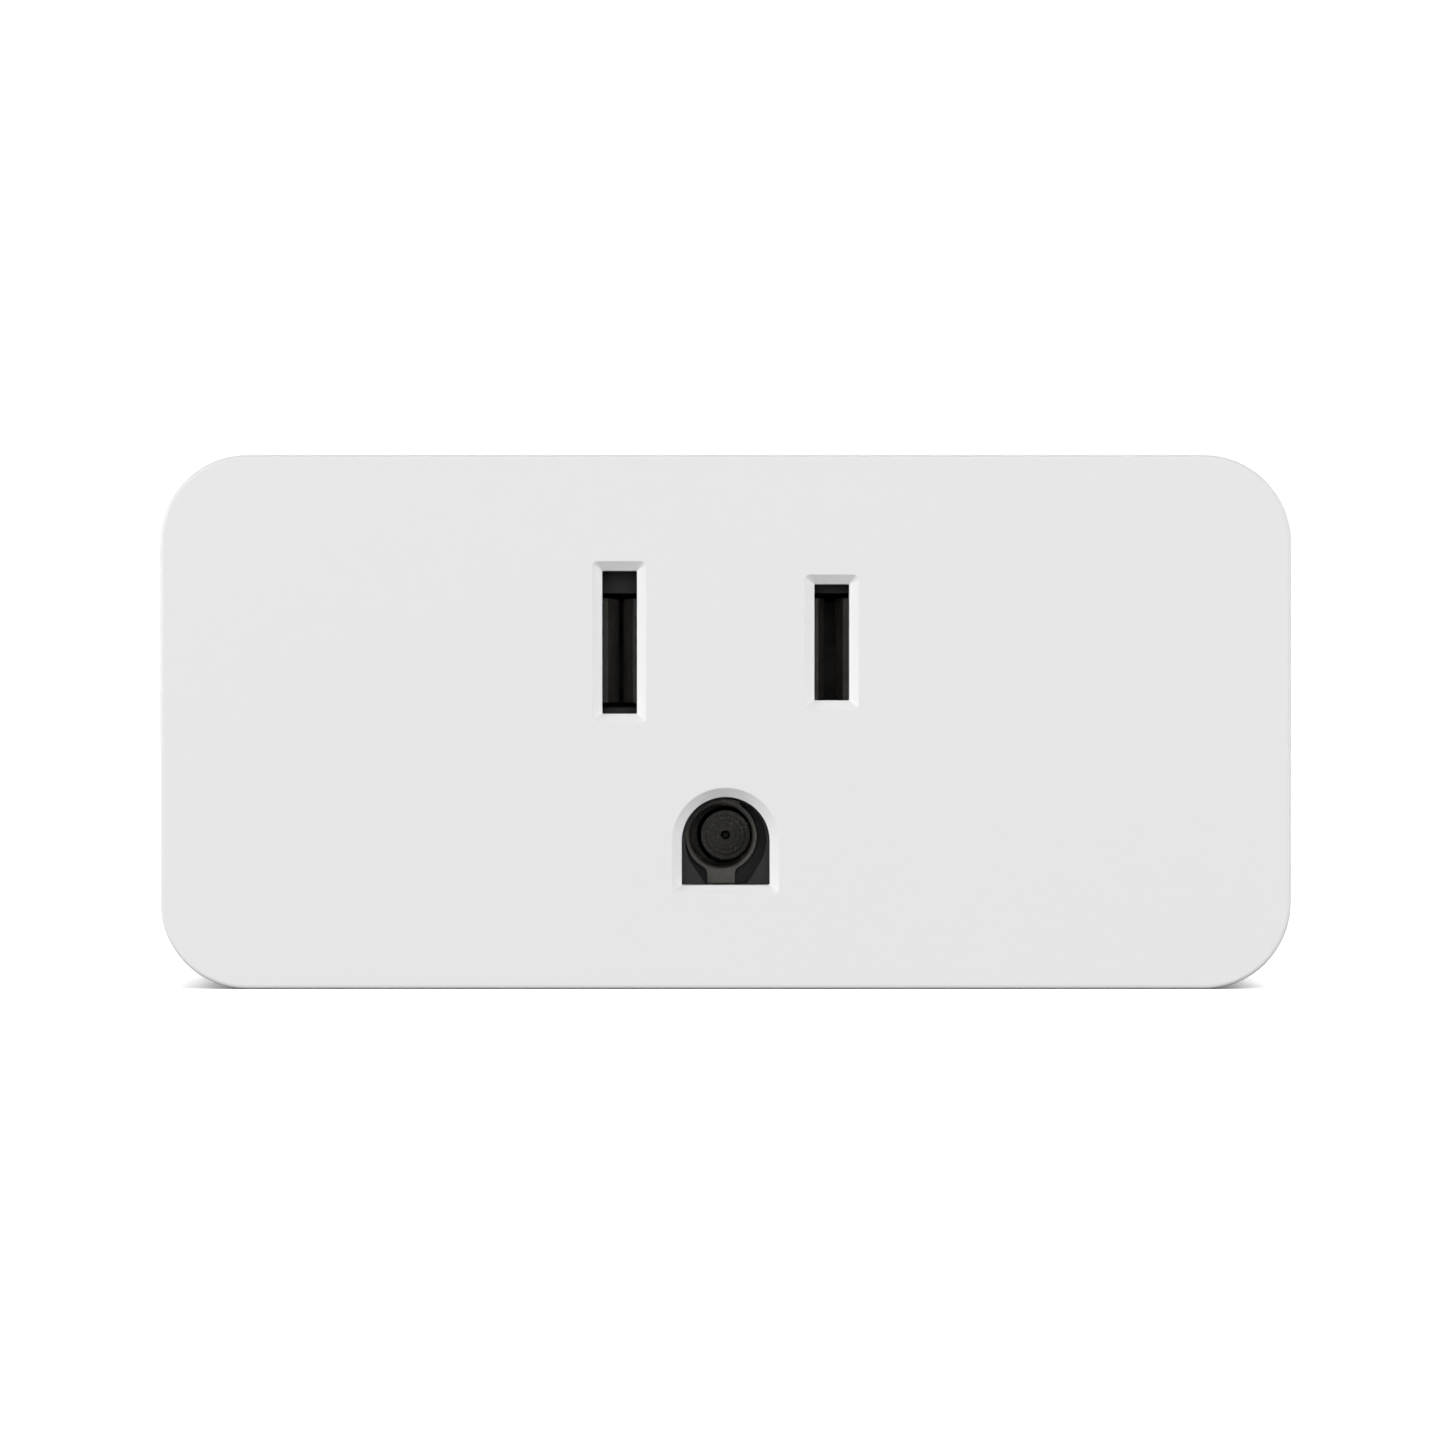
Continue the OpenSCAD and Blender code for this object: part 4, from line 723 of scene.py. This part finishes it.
def cover_screw_set():
    """Four screws. The shank's radius follows a helix: it swings between root and crest as the depth less
    the turn's share of the pitch goes through each pitch. The head's face sinks steeply inside a
    three-lobed outline."""
    skin = Skin()
    low, high = box_mm("cover_screws")
    start, end = low[1], high[1]
    head_r, crest_r, root_r, pitch, head_y = 2.0, 1.25, 1.0, 0.9, end - 1.6
    thread_start, thread_end = start + 0.9, head_y - 0.5
    angle = np.arange(60) / 60 * 2 * np.pi
    along = np.linspace(thread_start, thread_end, 120)
    phase = (along[:, None] / pitch - angle / (2 * np.pi)) % 1
    crest = np.clip(1 - np.abs(phase - 0.5) * 5, 0, 1)
    fade = np.clip((along - thread_start) / 0.8, 0, 1) * np.clip((thread_end - along) / 0.5, 0, 1)
    thread_r = root_r + (crest_r - root_r) * crest * fade[:, None]
    tip = np.array([[0.0, start], [crest_r * 0.35, start], [root_r, start + 0.6]])
    under = rounded_line(
        [(root_r, head_y - 0.4), (root_r, head_y), (head_r, head_y), (head_r, end), (head_r - 0.4, end)],
        [0.1, 0.1, 0.3], 4, 0.02)
    face_r = np.linspace(head_r - 0.42, 0, 22)[:, None]
    lobes = 0.78 + 0.38 * np.cos(3 * (angle - np.pi / 2))
    sunk = np.clip((lobes - face_r) / 0.16 + 0.5, 0, 1)
    drive_y = end - 0.9 * sunk * sunk * (3 - 2 * sunk)

    def rings(column):
        return np.repeat(column[:, None], len(angle), 1)

    radius = np.vstack([rings(tip[:, 0]), thread_r, rings(under[:, 0]), rings(face_r[:, 0])])
    depth = np.vstack([rings(tip[:, 1]), rings(along), rings(under[:, 1]), drive_y])
    for x, z in posts:
        skin.wrap(np.stack([x + radius * np.cos(angle), depth, z + radius * np.sin(angle)], axis=-1))
    piece("cover_screw_set", skin, "root", "steel", "cover_screws", crease=50)


def socket_housing():
    """The black block: a box with rounded edges and three pockets. A pocket's rings keep the opening's
    outline through a narrow entry, then step out to a chamber that is open behind. A ledge in the round
    pocket's chamber seats its contact."""
    skin = Skin()
    front, rear = block_low[1], block_high[1]
    line = rounded_line([(1, front), (0, front), (0, rear), (1, rear)], [0.3, 0.3], 3)
    centre = (block_low[[0, 2]] + block_high[[0, 2]]) / 2
    half_x, half_z = (block_high[[0, 2]] - block_low[[0, 2]]) / 2
    loops = corner_loops(half_x - line[:, 0], half_z - line[:, 0], np.maximum(1.1 - line[:, :1], 0.1), 4)
    ids = skin.wrap(placed(loops, line[:, 1], centre))
    entry_r, chamber_r = 0.08, 0.2

    def entry(end):
        return rounded_line([(0.2, front), (0, front), (0, end)], [entry_r], 3, 0.02)

    def blade_pocket(x, half_h):
        step_y, chamber_half_w, chamber_half_h = front + 2.2, 2.2, contact_half_h + 0.3
        line = entry(step_y)
        half_a = np.concatenate([slot_half_w + line[:, 0], [chamber_half_w] * 2])
        half_b = np.concatenate([half_h + line[:, 0], [chamber_half_h] * 2])
        rings = placed(corner_loops(half_a, half_b, entry_r, 3), [*line[:, 1], step_y, rear], (x, blade_z))
        rings[-2:, :, 2] += contact_z - blade_z
        return skin.wrap(rings)

    slots = [blade_pocket(-blade_x, neutral_half_h), blade_pocket(blade_x, live_half_h)]

    # The guide's outline: a circle down to the keyway's sides, then the keyway
    floor_y, guide_y, guide_r, keyway, drop = front + 1.2, front + 3.6, 2.46, 1.22, ground_half - 0.02
    mouth = ground_opening(skin, entry(floor_y))
    to_keyway = np.pi - np.arccos(keyway / guide_r)
    turn = np.linspace(-to_keyway, to_keyway, 41) + np.pi / 2
    circle = guide_r * np.stack([np.cos(turn), np.sin(turn)], axis=-1)
    keyhole = np.vstack([circle, [[-keyway, -drop], [keyway, -drop]]])
    guide_line = np.array([[entry_r, floor_y], [0, floor_y + entry_r], [0, guide_y]])
    sideways = [1, 0.2]
    grown = keyhole * (1 + guide_line[:, :1, None] / np.linalg.norm(keyhole, axis=1)[:, None] * sideways)
    guide = skin.wrap(placed(grown, guide_line[:, 1], (0, ground_z)))
    skin.fill(mouth[-1], guide[0])

    def chamber(grow, depths):
        loops = corner_loops([3.2 + grow] * 2, [ground_half + 0.7 + grow] * 2, chamber_r, 3)
        return skin.wrap(placed(loops, depths, (0, ground_z)))

    room = chamber(0, [guide_y, rear])
    skin.fill(room[0], guide[-1])
    ledge = np.array([guide_y + 1.2, guide_y + 1.9])
    seat = chamber(0.1, ledge)
    collar_hole_r, collar_at = 2.25, (-0.28, ground_z + 0.22)
    hole = skin.turned(np.stack([[collar_hole_r] * 2, ledge], axis=-1), collar_at)
    skin.fill(seat[0], hole[0])
    skin.fill(seat[-1], hole[-1])
    skin.fill(ids[0], slots[0][0], slots[1][0], mouth[0])
    skin.fill(ids[-1], slots[0][-1], slots[1][-1], room[-1])
    piece("socket_housing", skin, "root", "socket_black", "socket_block")


def sprung_leaves(name, node, s, gap):
    """A blade contact: one strip bent round the rear of its chamber, whose two leaves close to a gap at
    their waist and open again at their mouth. The section is carried along a path of straight runs and
    arcs."""
    skin = Skin()
    low, high = box_mm(node)
    sheet, x = 0.2, s * blade_x
    mouth_y, rear_y = face_in_y + 2.7, block_high[1] - slip - sheet
    mouth, waist, belly, bend = 1.15 - sheet, gap / 2 + sheet, 1.7, 0.5
    leaf = [(mouth, mouth_y), (waist, mouth_y + 2.6), (waist, mouth_y + 3.6), (belly, mouth_y + 8.5),
            (belly, rear_y - bend), (belly - bend, rear_y)]
    leaf_r = [0.8, 0.8, 1.5, 0.15, 0.15]
    path = rounded_line(leaf + [(-a, y) for a, y in reversed(leaf)], leaf_r + leaf_r[::-1], 5, 0.03)
    ahead = np.gradient(path, axis=0)
    ahead /= np.linalg.norm(ahead, axis=1)[:, None]
    flat = np.zeros((len(path), 1))
    out = np.hstack([ahead[:, 1:], -ahead[:, :1], flat])
    skin.carried(np.hstack([path + [x, 0], flat + contact_z]), out, (0, 0, 1), sheet, contact_half_h)
    tail_half_w, tail_h = 0.4, 1.65
    skin.slab((x - tail_half_w, rear_y, low[2]), (x + tail_half_w, high[1], low[2] + tail_h), 0.08)
    piece(name, skin, "root", "spring_metal", node)


def collar_outline(outer, neck, drop, tab, rise):
    """The collar's outline about its axis: at each angle, the smooth maximum of the rim's radius and of the
    distances to the sides of the neck below and of the tab above, both cut off by their straight ends."""
    angle = np.linspace(0, 2 * np.pi, 240, endpoint=False) + 0.001
    across, up = np.abs(np.cos(angle)), np.sin(angle)
    end = np.where(up < 0, drop, rise) / np.abs(up)
    arm = np.minimum(np.where(up < 0, neck, tab) / across, end)
    sharpness = 14
    radius = np.minimum((outer ** sharpness + arm ** sharpness) ** (1 / sharpness), end)
    return radius, np.stack([np.cos(angle), np.sin(angle)], axis=-1)


def round_contact():
    """The ground contact: a collar plate with a neck and a tab, four spring fingers carried round its axis,
    a ring that holds them and a flat tail."""
    skin = Skin()
    low, high = box_mm("ground_contact")
    bore, sheet = 1.9, 0.3
    outer, middle_r = bore + sheet, bore + sheet / 2
    front, plate, rear = low[1], low[1] + 0.7, block_high[1] - 0.6
    x, z = low[0] + outer, ground_z + 0.22
    radius, ray = collar_outline(outer, 0.84, z - low[2], 1.1, high[2] - z)
    turn_in = 0.15
    rim = rounded_line([(turn_in, front), (0, front), (0, plate), (turn_in, plate)], [0.05, 0.05], 3, 0.01)
    edge = skin.wrap(placed((radius - rim[:, :1])[..., None] * ray, rim[:, 1], (x, z)))
    lead_in = rounded_line(
        [(outer - 0.18, front), (outer - 0.2, front), (bore, front + 0.1), (bore, plate)], [0, 0.05], 3, 0.01)
    hole = skin.turned(lead_in, (x, z), steps=64)
    skin.fill(edge[0], hole[0])
    skin.fill(edge[-1], hole[-1])

    def ring(start, end):
        corners = [(middle_r, start), (outer, start), (outer, end), (bore, end), (bore, start),
                   (middle_r, start)]
        skin.turned(rounded_line(corners, [0.1] * 4, 3, 0.01), (x, z), steps=64)

    finger_start, finger_end, overlap = plate + 0.8, rear - 4, 0.2
    ring(plate - overlap, finger_start + overlap)
    ring(finger_end - overlap, rear)
    half_turn = np.pi / 4 - 0.25 / middle_r
    for quarter in range(4):
        turn = quarter * np.pi / 2 + np.linspace(-half_turn, half_turn, 15)
        out = np.stack([np.cos(turn), 0 * turn, np.sin(turn)], axis=-1)
        path = np.array([x, (finger_start + finger_end) / 2, z]) + middle_r * out
        skin.carried(path, out, (0, 1, 0), sheet / 2 - 0.005, (finger_end - finger_start) / 2)
    tail_half_w, tail_z, tail_t = 1.2, z - outer - 0.5, 0.6
    skin.slab((x - tail_half_w, rear - 3, tail_z), (x + tail_half_w, high[1], tail_z + tail_t), 0.08)
    piece("round_contact", skin, "root", "spring_metal", "ground_contact")


front_casing()
back_casing()
side_button()
light_pipe()
flat_prong("neutral_prong", "neutral_blade", -1)
flat_prong("live_prong", "live_blade", 1)
round_prong()
cover_screw_set()
socket_housing()
sprung_leaves("neutral_leaves", "neutral_contact", -1, gap=0.28)
sprung_leaves("live_leaves", "live_contact", 1, gap=0.66)
round_contact()

for row in frame["record"]["subparts"]:
    mesh = frame["nodes"][row["node"]].data
    mesh.materials.clear()
    mesh.materials.append(finish(row["material_slot"]))

# ---- Stage, light and camera ----

scene = bpy.context.scene


def pale_floor():
    """A wide floor just under the casing. Bounced light and reflections don't see it, so it doesn't fill
    the shadows."""
    half, level = 4.0, (shell_low[2] - 0.02) * MM
    corners = np.array([[-1, -1], [1, -1], [1, 1], [-1, 1]]) * half
    mesh = bpy.data.meshes.new("floor")
    mesh.from_pydata(np.hstack([corners, np.full((4, 1), level)]).tolist(), [], [(0, 1, 2, 3)])
    f = Finish("pale_floor", Roughness=0.9, Specular_IOR_Level=0.1)
    f.set(Base_Color=f.mix(f.noise(300, 2), (0.9, 0.9, 0.9, 1), (0.93, 0.93, 0.93, 1)))
    mesh.materials.append(f.material)
    floor = bpy.data.objects.new("floor", mesh)
    scene.collection.objects.link(floor)
    floor.visible_diffuse = False
    floor.visible_glossy = False
    return floor


def studio_walls():
    """The studio around the object, by direction: white behind it, dim in front and above, and darker still
    around the camera."""
    world = bpy.data.worlds.new("studio")
    world.use_nodes = True
    scene.world = world
    t = Tree(world.node_tree)
    direction = t.node("ShaderNodeTexCoord", output="Generated")
    x, y, z = (t.axis(direction, name) for name in "XYZ")
    behind = y.over(-0.1, 0.3) * z.over(-0.2, -0.05) * z.over(0.25, 0.6, 1, 0.2) * x.over(0.15, 0.8, 1, 0.6)
    ahead = y.over(-1, -0.86, 0.1, 0.15) * z.over(-0.5, 0.1, 0.2, 1)
    t.fill(world.node_tree.nodes["Background"], {"Color": (1, 1, 1, 1), "Strength": behind * 1.06 + ahead})


def softbox(name, side, height, reach, size, power):
    """A rectangular soft light that faces the object, at an angle in degrees from the camera's side and at
    a height angle; its reach and size in metres and its power in watts."""
    lamp = bpy.data.lights.new(name, "AREA")
    lamp.shape = "RECTANGLE"
    lamp.size, lamp.size_y, lamp.energy = *size, power
    turn, lift = np.radians(side), np.radians(height)
    at = reach * np.array([np.sin(turn) * np.cos(lift), -np.cos(turn) * np.cos(lift), np.sin(lift)])
    made = bpy.data.objects.new(name, lamp)
    made.location = at
    made.rotation_euler = Vector(-at).to_track_quat("-Z", "Y").to_euler()
    scene.collection.objects.link(made)
    return made


def floor_light(floor):
    """A broad light from high behind the camera that falls on the floor only, and keeps it white."""
    only_floor = bpy.data.collections.new("floor_only")
    only_floor.objects.link(floor)
    sky = bpy.data.lights.new("floor_light", "SUN")
    sky.energy, sky.angle = 6.5, np.radians(80)
    made = bpy.data.objects.new("floor_light", sky)
    made.rotation_euler = (np.radians(45), 0, 0)
    scene.collection.objects.link(made)
    made.light_linking.receiver_collection = only_floor


def front_camera():
    """A long lens, level and a little left of the casing's centre. At its distance from the front face it
    takes in the width."""
    distance, width = 400, 86.3
    camera = bpy.data.cameras.new("camera")
    camera.sensor_width = 36
    camera.lens = camera.sensor_width * distance / width
    camera.clip_start, camera.clip_end = 0.01, 20
    eye = bpy.data.objects.new("camera", camera)
    eye.location = (-0.19 * MM, (front_y - distance) * MM, -0.03 * MM)
    eye.rotation_euler = (np.pi / 2, 0, 0)
    scene.collection.objects.link(eye)
    scene.camera = eye


floor = pale_floor()
studio_walls()
softbox("key", -60, 4, 1.1, (0.6, 0.6), 11.9)
softbox("fill", 57, 3, 1.1, (0.6, 0.6), 9.3)
softbox("front", 0, 5, 1.1, (0.5, 0.3), 2.9).visible_glossy = False
softbox("behind", 152, 22, 1.4, (0.9, 0.9), 9.0)
floor_light(floor)
front_camera()
scene.view_settings.view_transform = "Standard"
